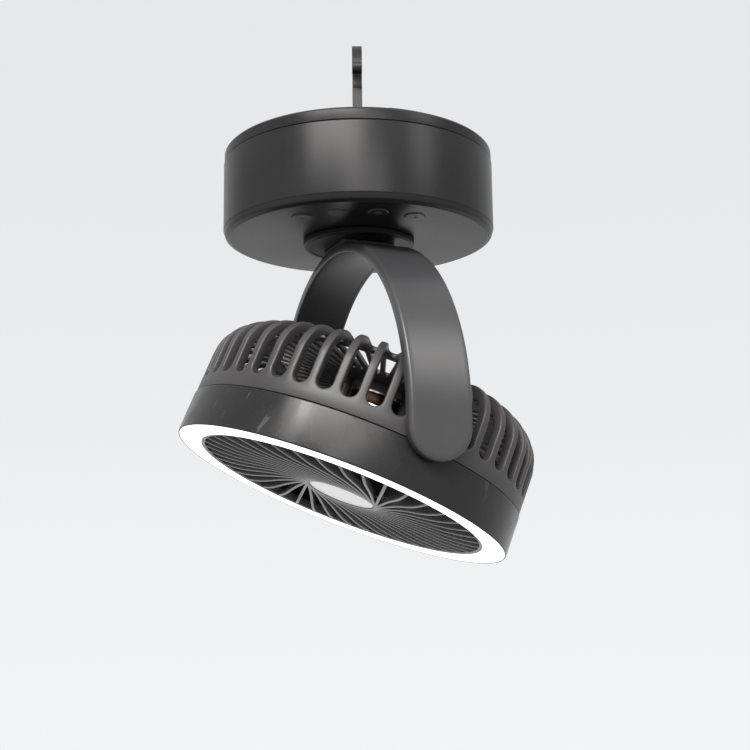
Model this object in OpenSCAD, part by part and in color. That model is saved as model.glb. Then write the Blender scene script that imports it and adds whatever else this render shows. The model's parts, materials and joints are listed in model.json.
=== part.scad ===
// Portable camping fan, hanging from its fold-out hook.
// Millimetres, +Z up. The origin is on the base's axis, where the hook's crook bears on its rail.
// The base hangs below the hook, the yoke below the base, and the fan head between the yoke's arms.

/* [Base] */
// Outer radius of the base
base_r = 68; // [68:1:76]
// Height of the base cup, from its flat face to the seam
cup_h = 37.4; // [37:0.2:44]
// Height of the cover above the seam
cover_h = 6.4; // [6.2:0.2:8]
// Side wall of the base cup
base_wall = 2.5; // [2:0.1:3]
// Thickness of the cup's flat face
floor_t = 2.8; // [2.4:0.1:3.2]
// Fillet round the cup's flat face
cup_fillet = 3; // [1.5:0.5:4]
// Thickness of the cover's top plate
cover_t = 2.5; // [2:0.1:3.2]
// Chamfer round the cover's top
cover_chamfer = 1.1; // [0.5:0.1:1.8]
// Width of the seam line between cup and cover
seam_gap = 0.4; // [0.2:0.1:0.8]
// Depth of the cover's spigot inside the cup
spigot_h = 3; // [2:0.5:4]
// Height that each foot pad stands proud of the cover
pad_proud = 1.5; // [1:0.1:2.5]
// Width of a foot pad
pad_w = 5; // [4:0.5:6]
// Angle that one foot pad spans
pad_span = 24; // [16:1:30]
// Direction of the first foot pad
pad_turn = -64; // [-75:1:-50]

/* [Hook] */
// Height of the bearing point over the cover's top
hook_reach = 54; // [46:1:54]
// Thickness of the hook bar, across the crook's plane
hook_t = 5; // [4:0.5:5]
// Width of the hook bar, in the crook's plane
hook_w = 6; // [5:0.5:6]
// Inner radius of the crook
crook_r = 8.5; // [7:0.5:8.5]
// Angle of the crook's arc, from the shank to the tip
crook_sweep = 275; // [240:5:285]
// Depth of the hook's hinge axis under the cover's top
hinge_depth = 3.3; // [3.2:0.1:3.6]
// Radius of the hook's steel pin
hook_pin_r = 1.5; // [1.2:0.1:1.7]

/* [Keys] */
// Radius of a key's cap
key_r = 4.8; // [4:0.1:5.2]
// Angle between neighbouring keys
key_pitch = 21; // [20:1:24]
// Distance from the key row's arc to the base's rim
key_inset = 18; // [16:1:19]
// Height that a key stands proud of the flat face
key_proud = 0.8; // [0.4:0.1:1.2]
// Travel of a key
key_travel = 0.5; // [0.3:0.1:0.5]

/* [Power] */
// Radius of a battery cell
cell_r = 9.15; // [9:0.05:9.3]
// Length of a battery cell
cell_l = 65; // [60:1:66]
// Width of the charging socket
usb_w = 9; // [8.4:0.1:9.4]
// Thickness of the circuit boards
board_t = 1.6; // [1:0.2:1.6]

/* [Swivel] */
// Radius of the turntable under the base
hub_r = 28; // [24:1:32]
// Thickness of the turntable
hub_t = 3.1; // [2.8:0.1:3.6]
// Running gap between the turntable and the base
hub_gap = 0.35; // [0.2:0.05:0.6]
// Radius of the swivel tube
tube_r = 9; // [8:0.5:9.5]
// Radius of the cable way through the swivel tube
tube_bore_r = 6; // [4:0.5:7]

/* [Yoke] */
// Straight length of the yoke's legs above the tilt axis
leg_h = 8; // [8:0.5:14]
// Clearance between the head's rim and each arm
arm_clear = 1.4; // [1.3:0.1:2]
// Thickness of the yoke's strap
strap_t = 5.2; // [4.8:0.1:5.4]
// Width of the yoke's strap
strap_w = 29; // [26:1:32]
// Skin of the yoke's outer moulding
skin_t = 2.4; // [2:0.1:2.6]
// Thickness of the liner inside the yoke
liner_t = 1.6; // [1.2:0.1:1.6]
// Bevel round the yoke's outer edge
strap_bevel = 0.9; // [0.4:0.1:1.4]
// Radius of the hollow pivot stub on each arm
stub_r = 5.5; // [4.5:0.5:6]
// Turn of the yoke about the base's axis
yoke_turn = -68; // [-160:1:160]

/* [Head] */
// Outer radius of the fan head
head_r = 84; // [80:0.5:84]
// Distance from the tilt axis forward to the face
face_d = 28.6; // [27:0.2:34]
// Distance from the tilt axis forward to the seam
head_seam_d = 8.9; // [8.6:0.1:11]
// Wall of the head's mouldings
head_wall = 2.2; // [1.8:0.1:2.6]
// Width from the air duct to the head's rim, with the light ring in it
light_ring_w = 12.9; // [12:0.1:15]
// Thickness of the light ring's diffuser
diffuser_t = 3.1; // [2.4:0.1:3.4]
// Angle of the head from straight down
head_tilt = 23; // [-60:1:60]

/* [Front grille] */
// Number of swirl ribs
rib_count = 44; // [30:1:52]
// Thickness of a swirl rib
rib_t = 1.5; // [1:0.1:1.8]
// Depth of a swirl rib
rib_d = 3; // [2.4:0.1:4]
// Sweep of a rib from the duct to the centre
rib_sweep = 54; // [20:1:60]
// How late the sweep of a rib comes on its way in
rib_bend = 2.3; // [1.5:0.1:3]
// Radius of the plain disc in the middle
cap_r = 17; // [15:0.1:20]
// Distance from the face back to the ribs' front edges
grille_inset = 0.8; // [0.4:0.1:1.6]

/* [Rear shell] */
// Number of slot places round the rear shell
slot_count = 46; // [38:2:50]
// Share of each slot's pitch that is open
slot_share = 0.67; // [0.5:0.01:0.7]
// Straight height of the side wall behind the tilt axis
wall_rise = 12.5; // [11:0.5:20]
// Radius of the shoulder between the side wall and the back
shoulder_r = 19; // [17:0.5:21]
// Outer radius of the ring round the back windows
back_ring_r = 61; // [59:0.5:61]
// Width of the ring round the back windows
back_ring_w = 5; // [4:0.5:7]
// Thickness of the back's ring, spokes and middle plate
plate_t = 2.4; // [2:0.1:3]
// Radius of the back's middle plate
hub_plate_r = 30; // [27:0.5:34]
// Width of a spoke between two back windows
spoke_w = 2.3; // [2:0.1:2.6]

/* [Impeller] */
// Number of blades
blade_count = 5; // [3:1:7]
// Clearance between the blade tips and the air duct
tip_gap = 3.1; // [2.6:0.1:6]
// Radius of the impeller's hub
spinner_r = 19; // [18.5:0.5:22]
// Angle that a blade's chord spans
blade_chord = 46; // [30:1:50]
// Depth of a blade from its leading to its trailing edge
blade_pitch = 20; // [12:1:20]
// Thickness of a blade
blade_t = 1.8; // [1.4:0.1:2.4]

/* [Motor] */
// Radius of the motor can
motor_r = 14.6; // [13.5:0.1:15]
// Length of the motor can
motor_l = 19; // [17:1:20]
// Radius of the motor shaft
shaft_r = 2; // [1.5:0.1:2.2]

/* [Fits] */
// Radial clearance of a running fit
run_gap = 0.05; // [0.03:0.01:0.08]
// Clearance between mouldings that lie side by side
side_gap = 0.2; // [0.1:0.05:0.3]

/* [Hidden] */
$fn = 96;
eps = 0.01;

// colours
charcoal = [0.17, 0.17, 0.18];
soft_black = [0.09, 0.09, 0.1];
steel = [0.72, 0.72, 0.74];
white = [0.95, 0.95, 0.96];
board_green = [0.1, 0.34, 0.2];
copper = [0.72, 0.43, 0.26];

// base levels, above the cup's flat face
base_h = cup_h + cover_h;
cover_z = cup_h + seam_gap;
post_top = cup_h - spigot_h;
post_ring = base_r - 14;
post_r = 3.4;
pilot_r = 1.25;
screw_r = 1.2;
screw_head_r = 2.9;
screw_head_h = 2;
head_recess = 3;
pad_ring = base_r - 7;
pad_sink = 0.5;

// hook, measured from its hinge axis
hinge_z = base_h - hinge_depth;
barrel_r = 3.1;
barrel_l = 26;
hook_len = hook_reach + hinge_depth - crook_r;
crook_out = crook_r + hook_w;
crook_mid = crook_r + hook_w / 2;
tip_bead = 0.4;
web_w = 0.3 * barrel_l;
web_h = 6;
pocket_gap = 0.6;
pocket_y = barrel_l / 2 + 0.3;
pocket_z = hinge_z - barrel_r - 0.2;
pocket_wall = 1.8;
ear_t = 4;

// keys and their board
key_ring = base_r - key_inset;
key_gap = 0.2;
flange_r = key_r + 1.2;
flange_t = 1;
key_names = [0, 1, 2, 3];
switch_gap = 0.1;
switch_z = floor_t + run_gap + flange_t + key_travel + switch_gap;
switch_h = 3.5;
key_board_z = switch_z + switch_h;
board_post_r = 2.2;

// swivel
washer_t = 0.8;
nut_h = 5;
nut_r = 13.5;
tube_top = floor_t + washer_t + nut_h + 1.4;
stop_ring = 16.8;
stop_r = 1.6;
lug_half = 7;

// battery tray and main board
tray_wall = 1.6;
tray_z = key_board_z + board_t + 3.8;
cell_z = tray_z + tray_wall + cell_r;
cell_step = 2 * cell_r + 0.5;
cell_count = 4;
cell_gap = 0.15;
tray_x = cell_count * cell_step / 2 + 0.9;
tray_y = cell_l / 2 + 1.2;
tray_h = tray_wall + cell_r;
tray_post = [34, 17];
main_z = 8;
main_x = 26;
main_y = [stop_ring + stop_r + 1.6, base_r - 9];
board_inset = 4;
main_post_y = [main_y[0] + board_inset, main_y[1] - board_inset - 1];
chip_y = main_y[0] + 10;
usb_h = 3.2;
usb_l = 7.3;
usb_z = main_z + board_t;
lens_turn = 14;
lens_w = 8;
lens_h = 1.6;

// yoke, measured from the tilt axis
strap_in = head_r + arm_clear;
yoke_span = strap_in + strap_t;
crown_top = leg_h + yoke_span + 0.95;
pivot_drop = crown_top + hub_t + hub_gap;
liner_side = 1.8;
stub_bore = stub_r - 2.3;
yoke_screw_x = tube_r + 2;
saddle_x = yoke_screw_x + 3.5;
yoke_screw_z = leg_h + sqrt(pow(yoke_span - skin_t, 2) - pow(yoke_screw_x + 2.2, 2));

// head, measured from the tilt axis, with the face towards -Z
shell_r = head_r - 0.4;
shell_in = shell_r - head_wall;
duct_r = head_r - light_ring_w;
pad_face_r = stub_r + 2.9;
pivot_in = head_r - 6;
clip_t = 1.8;
stub_in = pivot_in - clip_t - 1;
seam_half = 0.15;
arm_gap = 0.05;
pivot_face = head_r;
lip_t = 1;
duct_wall = 2;
front_wall = 2.4;
ledge_z = -face_d + diffuser_t + 0.1;
web_z = -face_d + 6.8;
web_t = 2.5;
led_board_t = 1.2;
led_count = 24;
led_h = 0.8;
post_ring_h = head_r - 7;
head_post_r = 2.6;
head_post_turn = 45;
tongue_h = 4.2;
grille_z = -face_d + grille_inset;
grille_ring_w = 2;
grille_gap = 0.1;
cap_z = 0.8;
cap_t = 1.6;
cap_shelf = 1.4;

// rear shell: its side wall, shoulder and ribs are as thick as wall and tongue together
tongue_t = 2.2;
cage_in = shell_in - tongue_t;
back_d = wall_rise + shoulder_r;
ring_drop = 1.1;
plate_z = back_d - ring_drop - plate_t;
slot_half = 180 / slot_count * slot_share;
slot_low = -head_seam_d + 10.6;
slot_shoulder = 0.2;
pad_skip = asin((strap_w / 2 + 1) / shell_r);
short_low = wall_rise + 1.5;
window_count = slot_count;

// motor and impeller
mount_z = 8;
mount_r = 2.6;
collar_t = 2;
collar_h = 4;
bracket_t = 2.4;
bracket_r = motor_r + 6;
bracket_screw_ring = motor_r + 3.5;
motor_screw_ring = 10;
can_wall = 1.2;
can_end = 2;
bush_r = shaft_r + 1.2;
hub_top = mount_z - bracket_t - 3.2;
hub_h = 22;
hub_wall = 1.8;
boss_r = 5;
shaft_front = hub_top - hub_h - 2.2;
blade_r = duct_r - tip_gap;
blade_mid = hub_top - 11;
span_steps = 6;
chord_steps = 6;

// ---- shared shapes -------------------------------------------------------

module ring(r_out, r_in, h) {
    difference() {
        cylinder(r = r_out, h = h);
        translate([0, 0, -1]) cylinder(r = r_in, h = h + 2);
    }
}

// a half profile with a rounded outer bottom corner
module round_foot(r, h, f) {
    translate([0, f]) square([r, h - f]);
    square([r - f, f + eps]);
    intersection() {
        translate([r - f, f]) circle(f);
        square([r, h]);
    }
}

// a slice of a disc, from its centre, symmetric about +X
module wedge(r, half) {
    polygon([[0, 0], [r, -r * tan(half)], [r, r * tan(half)]]);
}

module at_base() {
    translate([0, 0, -hook_reach - base_h]) children();
}

module at_hinge() {
    at_base() translate([0, 0, hinge_z]) children();
}

module at_yoke() {
    at_base() translate([0, 0, -pivot_drop]) rotate([0, 0, yoke_turn]) children();
}

module at_head() {
    at_yoke() rotate([-head_tilt, 0, 0]) children();
}

// both arms' pivots, with +Z out along the arm's axis from the head's middle
module at_pivots() {
    for (side = [0, 1]) rotate([0, 0, 180 * side]) rotate([0, 90, 0]) children();
}

module screw(length, head_r, head_h, shank_r) {
    translate([0, 0, -length]) cylinder(r = shank_r, h = length + eps);
    cylinder(r = head_r, h = head_h);
}

// ---- hook ----------------------------------------------------------------

// the hook's outline in the crook's plane: x runs across, y up from the hinge axis
module hook_outline() {
    tip = crook_sweep - 90;
    difference() {
        union() {
            translate([-hook_w / 2, 0]) square([hook_w, hook_len]);
            translate([0, hook_len]) circle(crook_out);
            polygon([[-web_w, 0], [web_w, 0], [hook_w / 2, web_h], [-hook_w / 2, web_h]]);
        }
        translate([0, hook_len]) {
            circle(crook_r);
            // the mouth, between the tip and the shank
            polygon([
                [0, 0], 2 * crook_out * [cos(tip), sin(tip)], [-2 * crook_out, -2 * crook_out],
                [-hook_w / 2, -2 * crook_out], [-hook_w / 2, -crook_r / 2]
            ]);
        }
    }
    // a bead at the tip
    translate([0, hook_len]) rotate([0, 0, tip]) translate([crook_mid, 0]) circle(hook_w / 2 + tip_bead);
}

module hook() {
    at_hinge() color(soft_black) difference() {
        union() {
            rotate([-90, 0, 0]) translate([0, 0, -barrel_l / 2]) cylinder(r = barrel_r, h = barrel_l);
            translate([-hook_t / 2, 0, 0]) rotate([90, 0, 90]) linear_extrude(hook_t) hook_outline();
        }
        rotate([-90, 0, 0]) translate([0, 0, -barrel_l])
            cylinder(r = hook_pin_r + run_gap, h = 2 * barrel_l);
    }
}

module hook_pin() {
    at_hinge() color(steel) rotate([-90, 0, 0])
        translate([0, 0, -pocket_y - ear_t + 0.4]) cylinder(r = hook_pin_r, h = 2 * (pocket_y + ear_t - 0.4));
}

// ---- base ----------------------------------------------------------------

module pocket_outline(grow) {
    translate([-barrel_r - 2.9 - grow, -pocket_y - grow])
        square([barrel_r + 2.9 + hook_len + grow, 2 * (pocket_y + grow)]);
    translate([hook_len, 0]) circle(crook_out + tip_bead + pocket_gap + grow);
}

module at_posts(r, first, count) {
    for (k = [0 : count - 1]) rotate([0, 0, first + k * 360 / count]) translate([r, 0, 0]) children();
}

module cover_shell() {
    rotate_extrude() {
        translate([0, base_h - cover_t]) square([base_r - 0.3 - cover_chamfer, cover_t]);
        polygon([
            [base_r - base_wall - 2.4, cover_z], [base_r - 0.3, cover_z],
            [base_r - 0.3, base_h - cover_chamfer], [base_r - 0.3 - cover_chamfer, base_h],
            [base_r - base_wall - 2.4, base_h]
        ]);
        translate([base_r - base_wall - 2.4, post_top])
            square([2.4 - side_gap, base_h - cover_t - post_top + eps]);
    }
}

module base_cover() {
    at_base() color(charcoal) difference() {
        union() {
            cover_shell();
            intersection() {
                translate([0, 0, pocket_z - pocket_wall])
                    linear_extrude(base_h - cover_t - pocket_z + pocket_wall + eps)
                        pocket_outline(pocket_wall);
                cylinder(r = base_r - base_wall - side_gap, h = base_h);
            }
            for (side = [-1, 1]) translate([-5, side > 0 ? pocket_y : -pocket_y - ear_t, hinge_z - 3.6])
                cube([10, ear_t, 4]);
            at_posts(post_ring, 45, 4) translate([0, 0, post_top])
                cylinder(r = post_r, h = cover_h + spigot_h - eps);
        }
        translate([0, 0, pocket_z]) linear_extrude(base_h) pocket_outline(0);
        at_posts(post_ring, 45, 4) {
            translate([0, 0, base_h - head_recess])
                cylinder(r = screw_head_r + side_gap, h = head_recess + 1);
            translate([0, 0, 1]) cylinder(r = screw_r + side_gap, h = base_h);
        }
        for (k = [0 : 2]) translate([0, 0, base_h - pad_sink]) foot_pad(k, side_gap, 1 + pad_sink);
        translate([0, -pocket_y - ear_t - 1, hinge_z]) rotate([-90, 0, 0])
            cylinder(r = hook_pin_r, h = 2 * (pocket_y + ear_t + 1));
    }
}

module foot_pad(k, grow, h) {
    rotate([0, 0, pad_turn + 120 * k]) {
        rotate([0, 0, -pad_span / 2]) rotate_extrude(angle = pad_span)
            translate([pad_ring - pad_w / 2 - grow, 0]) square([pad_w + 2 * grow, h]);
        for (side = [-1, 1]) rotate([0, 0, side * pad_span / 2]) translate([pad_ring, 0, 0])
            cylinder(r = pad_w / 2 + grow, h = h);
    }
}

module foot_pads() {
    at_base() color(soft_black) for (k = [0 : 2])
        translate([0, 0, base_h - pad_sink]) foot_pad(k, 0, pad_sink + pad_proud);
}

module cover_screws() {
    at_base() color(steel) at_posts(post_ring, 45, 4) translate([0, 0, base_h - head_recess]) difference() {
        screw(9, screw_head_r, screw_head_h, screw_r);
        translate([0, 0, screw_head_h - 1]) cylinder(r = 1.3, h = 2, $fn = 6);
    }
}

module base_cup() {
    at_base() color(charcoal) difference() {
        union() {
            rotate_extrude() difference() {
                round_foot(base_r, cup_h, cup_fillet);
                translate([0, floor_t]) round_foot(base_r - base_wall, cup_h, cup_fillet / 2);
            }
            at_posts(post_ring, 45, 4) cylinder(r = post_r, h = post_top);
            for (x = [-1, 1], y = [-1, 1]) translate([x * tray_post.x, y * tray_post.y, 0])
                cylinder(r = board_post_r, h = tray_z);
            for (x = [-1, 1], y = main_post_y) translate([x * (main_x - board_inset), y, 0])
                cylinder(r = board_post_r, h = main_z);
            for (a = [-1, 0, 1]) rotate([0, 0, -90 + a * key_pitch]) translate([key_ring, 0, 0])
                cylinder(r = board_post_r, h = key_board_z);
            rotate([0, 0, 90]) translate([stop_ring, 0, 0])
                cylinder(r = stop_r, h = floor_t + washer_t + nut_h - 0.5);
        }
        translate([0, 0, -1]) cylinder(r = tube_r + run_gap, h = floor_t + 2);
        at_keys() translate([0, 0, -1]) cylinder(r = key_r + key_gap, h = floor_t + 2);
        at_posts(post_ring, 45, 4) translate([0, 0, post_top - 8]) cylinder(r = pilot_r, h = 9);
        // the charging socket's mouth and the charge lens, side by side in the wall
        translate([-usb_w / 2 - side_gap, base_r - 6, usb_z - side_gap])
            cube([usb_w + 2 * side_gap, 8, usb_h + 2 * side_gap]);
        rotate([0, 0, -lens_turn]) translate([-lens_w / 2 - side_gap, base_r - 6, usb_z])
            cube([lens_w + 2 * side_gap, 8, lens_h + 2 * side_gap]);
    }
}

// the four places of the keys, front of the base
module at_keys() {
    for (k = key_names) rotate([0, 0, -90 + (k - 1.5) * key_pitch]) translate([key_ring, 0, 0]) children();
}

module key(k) {
    at_base() color(soft_black) rotate([0, 0, -90 + (k - 1.5) * key_pitch]) translate([key_ring, 0, 0]) {
        rotate_extrude() {
            translate([0, -key_proud + 0.3]) square([key_r, floor_t + key_proud - 0.3 + run_gap + flange_t]);
            translate([0, -key_proud]) square([key_r - 0.3, 0.4]);
            translate([0, floor_t + run_gap]) square([flange_r, flange_t]);
        }
    }
}

module key_power() { key(0); }
module key_speed() { key(1); }
module key_light() { key(2); }
module key_timer() { key(3); }

module tact_switches() {
    at_base() color(steel) at_keys() translate([0, 0, switch_z]) {
        cylinder(r = 1.7, h = switch_h - eps);
        translate([-3, -3, 0.5]) cube([6, 6, switch_h - 0.5]);
    }
}

module key_board() {
    at_base() color(board_green) translate([0, 0, key_board_z]) linear_extrude(board_t) intersection() {
        difference() {
            circle(key_ring + 8);
            circle(key_ring - 7);
        }
        rotate(-90) wedge(2 * base_r, 1.5 * key_pitch + 8);
    }
}

module main_board() {
    at_base() color(board_green) {
        translate([0, 0, main_z]) linear_extrude(board_t) intersection() {
            translate([-main_x, main_y[0]]) square([2 * main_x, base_r]);
            circle(base_r - base_wall - 0.8);
        }
        translate([-14, chip_y, main_z + board_t - eps]) cube([9, 9, 1.6]);
        translate([4, chip_y - 2, main_z + board_t - eps]) cube([7, 5, 1.8]);
        translate([12, chip_y + 12, main_z + board_t - eps]) cylinder(r = 3.2, h = 2.6);
    }
}

module charging_socket() {
    at_base() color(steel) translate([-usb_w / 2, base_r - 0.6 - usb_l, usb_z]) difference() {
        cube([usb_w, usb_l, usb_h]);
        translate([0.4, 1.2, 0.4]) cube([usb_w - 0.8, usb_l, usb_h - 0.8]);
    }
}

module charge_lens() {
    at_base() color(white) rotate([0, 0, -lens_turn]) translate([-lens_w / 2, 0, usb_z + side_gap])
        linear_extrude(lens_h) intersection() {
            translate([0, base_r - base_wall - 2.6]) square([lens_w, base_wall + 2.6]);
            translate([lens_w / 2, 0]) circle(base_r - 0.1);
        }
}

module at_cells() {
    for (k = [0 : cell_count - 1]) translate([(k - (cell_count - 1) / 2) * cell_step, 0, cell_z])
        rotate([-90, 0, 0]) children();
}

module battery_cells() {
    at_base() color([0.2, 0.42, 0.62]) at_cells() {
        translate([0, 0, -cell_l / 2]) cylinder(r = cell_r, h = cell_l - 1);
        translate([0, 0, cell_l / 2 - 1 - eps]) cylinder(r = 3, h = 1 + eps);
    }
}

module battery_tray() {
    at_base() color(soft_black) difference() {
        translate([-tray_x, -tray_y, tray_z]) cube([2 * tray_x, 2 * tray_y, tray_h]);
        at_cells() translate([0, 0, -cell_l / 2 - 0.2]) cylinder(r = cell_r + cell_gap, h = cell_l + 0.4);
    }
}

// ---- swivel --------------------------------------------------------------

module turntable() {
    at_base() color(charcoal) rotate([0, 0, yoke_turn]) difference() {
        union() {
            rotate_extrude() polygon([
                [0, -hub_gap], [hub_r, -hub_gap], [hub_r, -hub_gap - hub_t + 0.8],
                [hub_r - 0.8, -hub_gap - hub_t], [0, -hub_gap - hub_t]
            ]);
            translate([0, 0, -hub_gap - eps]) cylinder(r = tube_r, h = tube_top + hub_gap);
        }
        translate([0, 0, -hub_gap - hub_t - 1]) cylinder(r = tube_bore_r, h = tube_top + hub_t + 4);
        for (x = [-1, 1]) translate([x * yoke_screw_x, 0, -hub_gap - hub_t - 1])
            cylinder(r = screw_r + run_gap, h = 3.4);
    }
}

module swivel_washer() {
    at_base() color(white) translate([0, 0, floor_t])
        ring(stop_ring - stop_r - 0.6, tube_r + 0.3, washer_t - run_gap);
}

module swivel_nut() {
    at_base() color(steel) translate([0, 0, floor_t + washer_t]) rotate([0, 0, -90]) difference() {
        union() {
            cylinder(r = nut_r, h = nut_h);
            translate([0, 0, 1]) linear_extrude(nut_h - 1) intersection() {
                circle(stop_ring + stop_r);
                wedge(2 * stop_ring, lug_half);
            }
        }
        translate([0, 0, -1]) cylinder(r = tube_r, h = nut_h + 2);
    }
}

// ---- yoke ----------------------------------------------------------------

// the strap's section across the arch: x is the distance from the arch's centre, y runs along the tilt
module strap_section(r_in, r_out, half, bevel) {
    polygon([
        [r_in, -half], [r_out - bevel, -half], [r_out, -half + bevel],
        [r_out, half - bevel], [r_out - bevel, half], [r_in, half]
    ]);
}

// a stadium arch: straight legs, a half circle above, and round ends at the pivots
module arch(r_in, r_out, half, bevel) {
    translate([0, 0, leg_h]) rotate([90, 0, 0]) rotate_extrude(angle = 180)
        strap_section(r_in, r_out, half, bevel);
    for (side = [0, 1]) rotate([0, 0, 180 * side]) {
        linear_extrude(leg_h) strap_section(r_in, r_out, half, bevel);
        rotate([0, 90, 0]) translate([0, 0, r_in]) rotate([0, 0, -90]) rotate_extrude(angle = 180)
            polygon([
                [0, 0], [half, 0], [half, r_out - r_in - bevel],
                [half - bevel, r_out - r_in], [0, r_out - r_in]
            ]);
    }
}

module yoke() {
    at_yoke() color(charcoal) difference() {
        union() {
            difference() {
                arch(strap_in, yoke_span, strap_w / 2, strap_bevel);
                arch(strap_in - 1, yoke_span - skin_t, strap_w / 2 - liner_side, 0);
            }
            difference() {
                // the saddle under the turntable
                translate([-saddle_x, -strap_w / 2 + strap_bevel, crown_top - 8])
                    cube([2 * saddle_x, strap_w - 2 * strap_bevel, 8]);
                translate([0, 0, leg_h]) rotate([90, 0, 0])
                    cylinder(r = yoke_span - skin_t / 2, h = 2 * strap_w, center = true);
            }
            at_pivots() translate([0, 0, stub_in])
                cylinder(r = stub_r, h = yoke_span - skin_t - stub_in + eps);
        }
        at_pivots() translate([0, 0, stub_in - 1])
            cylinder(r = stub_bore, h = yoke_span - skin_t - stub_in + 1);
        translate([0, 0, crown_top - 12]) cylinder(r = tube_bore_r, h = 13);
        for (x = [-1, 1]) translate([x * yoke_screw_x, 0, crown_top - 12])
            cylinder(r = screw_r + run_gap, h = 13);
    }
}

module yoke_liner() {
    at_yoke() color(charcoal) difference() {
        arch(strap_in, strap_in + liner_t, strap_w / 2 - liner_side - side_gap, 0);
        at_pivots() translate([0, 0, strap_in - 1]) cylinder(r = stub_r + side_gap, h = liner_t + 2);
        at_yoke_screws() translate([0, 0, -1.1]) cylinder(r = 2.4, h = 4);
    }
}

// the yoke's two screws, with z = 0 where a head's outer edge meets the skin
module at_yoke_screws() {
    for (x = [-1, 1]) translate([x * yoke_screw_x, 0, yoke_screw_z]) children();
}

module yoke_screws() {
    at_yoke() color(steel) at_yoke_screws() {
        translate([0, 0, -1]) cylinder(r = 2.2, h = 1);
        translate([0, 0, -eps]) cylinder(r = screw_r, h = crown_top + 2 - yoke_screw_z);
    }
}

module pivot_washers() {
    at_yoke() color(white) at_pivots() translate([0, 0, pivot_face + arm_gap])
        ring(pad_face_r - 0.2, stub_r + 0.1, strap_in - pivot_face - arm_gap);
}

module pivot_clips() {
    at_yoke() color(steel) at_pivots() translate([0, 0, pivot_in - clip_t - side_gap])
        ring(stub_r + 2.5, stub_r, clip_t);
}

// ---- head ----------------------------------------------------------------

module front_housing() {
    at_head() color(charcoal) difference() {
        union() {
            // outer wall with the lip round the light ring
            rotate_extrude() polygon([
                [head_r - front_wall, -head_seam_d - seam_half], [head_r - 0.2, -head_seam_d - seam_half],
                [head_r, -head_seam_d - seam_half - 0.3], [head_r, -face_d + 0.4], [head_r - 0.4, -face_d],
                [head_r - lip_t, -face_d], [head_r - lip_t, ledge_z], [head_r - front_wall, ledge_z]
            ]);
            translate([0, 0, web_z]) ring(head_r - 1, duct_r, web_t);
            translate([0, 0, ledge_z]) ring(duct_r + duct_wall, duct_r, -head_seam_d - ledge_z);
        }
        at_posts(post_ring_h, head_post_turn, 4) {
            translate([0, 0, web_z - 1]) cylinder(r = 2.6, h = 2.4);
            translate([0, 0, web_z]) cylinder(r = 1.4, h = 2 * web_t);
        }
    }
}

module led_diffuser() {
    at_head() color(white) rotate_extrude()
        translate([duct_r + 0.1, -face_d + 0.1]) square([head_r - lip_t - 0.1 - duct_r - 0.1, diffuser_t]);
}

module led_board() {
    at_head() color(white) translate([0, 0, web_z - led_board_t]) {
        ring(head_r - 3.2, duct_r + duct_wall + 0.5, led_board_t);
        for (k = [0 : led_count - 1]) rotate([0, 0, 360 / led_count * k])
            translate([(head_r + duct_r) / 2 - 1.4, -1.4, -led_h]) cube([2.8, 2.8, led_h + eps]);
    }
}

// direction of a swirl rib at radius r: it leaves the duct straight inwards and then leans over
function swirl(r) = rib_sweep * pow((duct_r - r) / (duct_r - cap_r), rib_bend);
function rib_edge(side) = [
    for (k = [0 : 12]) let (r = cap_r + 0.75 + (duct_r - cap_r - 1.55) * k / 12, a = swirl(r),
        slope = -rib_sweep * rib_bend / (duct_r - cap_r)
            * pow((duct_r - r) / (duct_r - cap_r), rib_bend - 1) * PI / 180 * r,
        n = sqrt(1 + slope * slope))
    [r * cos(a) - side * rib_t / 2 * (sin(a) + slope * cos(a)) / n,
     r * sin(a) + side * rib_t / 2 * (cos(a) - slope * sin(a)) / n]
];

module swirl_rib() {
    far = rib_edge(1);
    near = rib_edge(-1);
    polygon(concat(near, [for (k = [12 : -1 : 0]) far[k]]));
}

module front_grille() {
    at_head() color(charcoal) translate([0, 0, grille_z]) {
        ring(duct_r - grille_gap, duct_r - grille_gap - grille_ring_w, rib_d + 1);
        // the seat of the centre cap
        ring(cap_r + 1.3, cap_r + 0.1, rib_d + 0.5);
        translate([0, 0, cap_z + cap_t]) ring(cap_r + 0.2, cap_r - cap_shelf, rib_d + 0.5 - cap_z - cap_t);
        for (k = [0 : rib_count - 1]) rotate([0, 0, 360 / rib_count * k]) linear_extrude(rib_d) swirl_rib();
    }
}

module centre_cap() {
    at_head() color(white) translate([0, 0, grille_z + cap_z]) {
        cylinder(r = cap_r, h = cap_t);
        translate([0, 0, cap_t - eps]) ring(cap_r - cap_shelf - 0.1, cap_r - cap_shelf - 1.3, 1.8);
    }
}

// the rear shell's outline, drawn in by t: a straight wall, a quarter-round shoulder and a flat back
module dome(t) {
    translate([0, -head_seam_d + seam_half]) square([shell_r - t, head_seam_d - seam_half + wall_rise]);
    square([shell_r - shoulder_r, back_d - t]);
    translate([shell_r - shoulder_r, wall_rise]) intersection() {
        circle(shoulder_r - t);
        square(shoulder_r);
    }
}

// a slot: wedge-shaped seen from behind, with a round end at the back ring and another low on the wall
module slot_cutter(low) {
    start = back_ring_r / (1 - sin(slot_half));
    far = 2 * head_r * [cos(slot_half), sin(slot_half)];
    translate([0, 0, low]) linear_extrude(2 * back_d) {
        polygon([
            [start, -start * tan(slot_half)], [far.x, -far.y], far, [start, start * tan(slot_half)]
        ]);
        translate([start, 0]) circle(start * sin(slot_half) - slot_shoulder);
    }
    translate([cage_in - 2, 0, low]) rotate([0, 90, 0])
        cylinder(r = cage_in * sin(slot_half) - slot_shoulder / 2, h = 8);
}

module back_window() {
    half = 180 / window_count;
    inner = hub_plate_r * sin(half) - spoke_w / 2;
    outer_r = back_ring_r - back_ring_w;
    outer = outer_r * sin(half) - spoke_w / 2;
    translate([0, 0, plate_z - 1]) linear_extrude(plate_t + 2)
        polygon([[hub_plate_r, -inner], [outer_r, -outer], [outer_r, outer], [hub_plate_r, inner]]);
}

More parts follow.
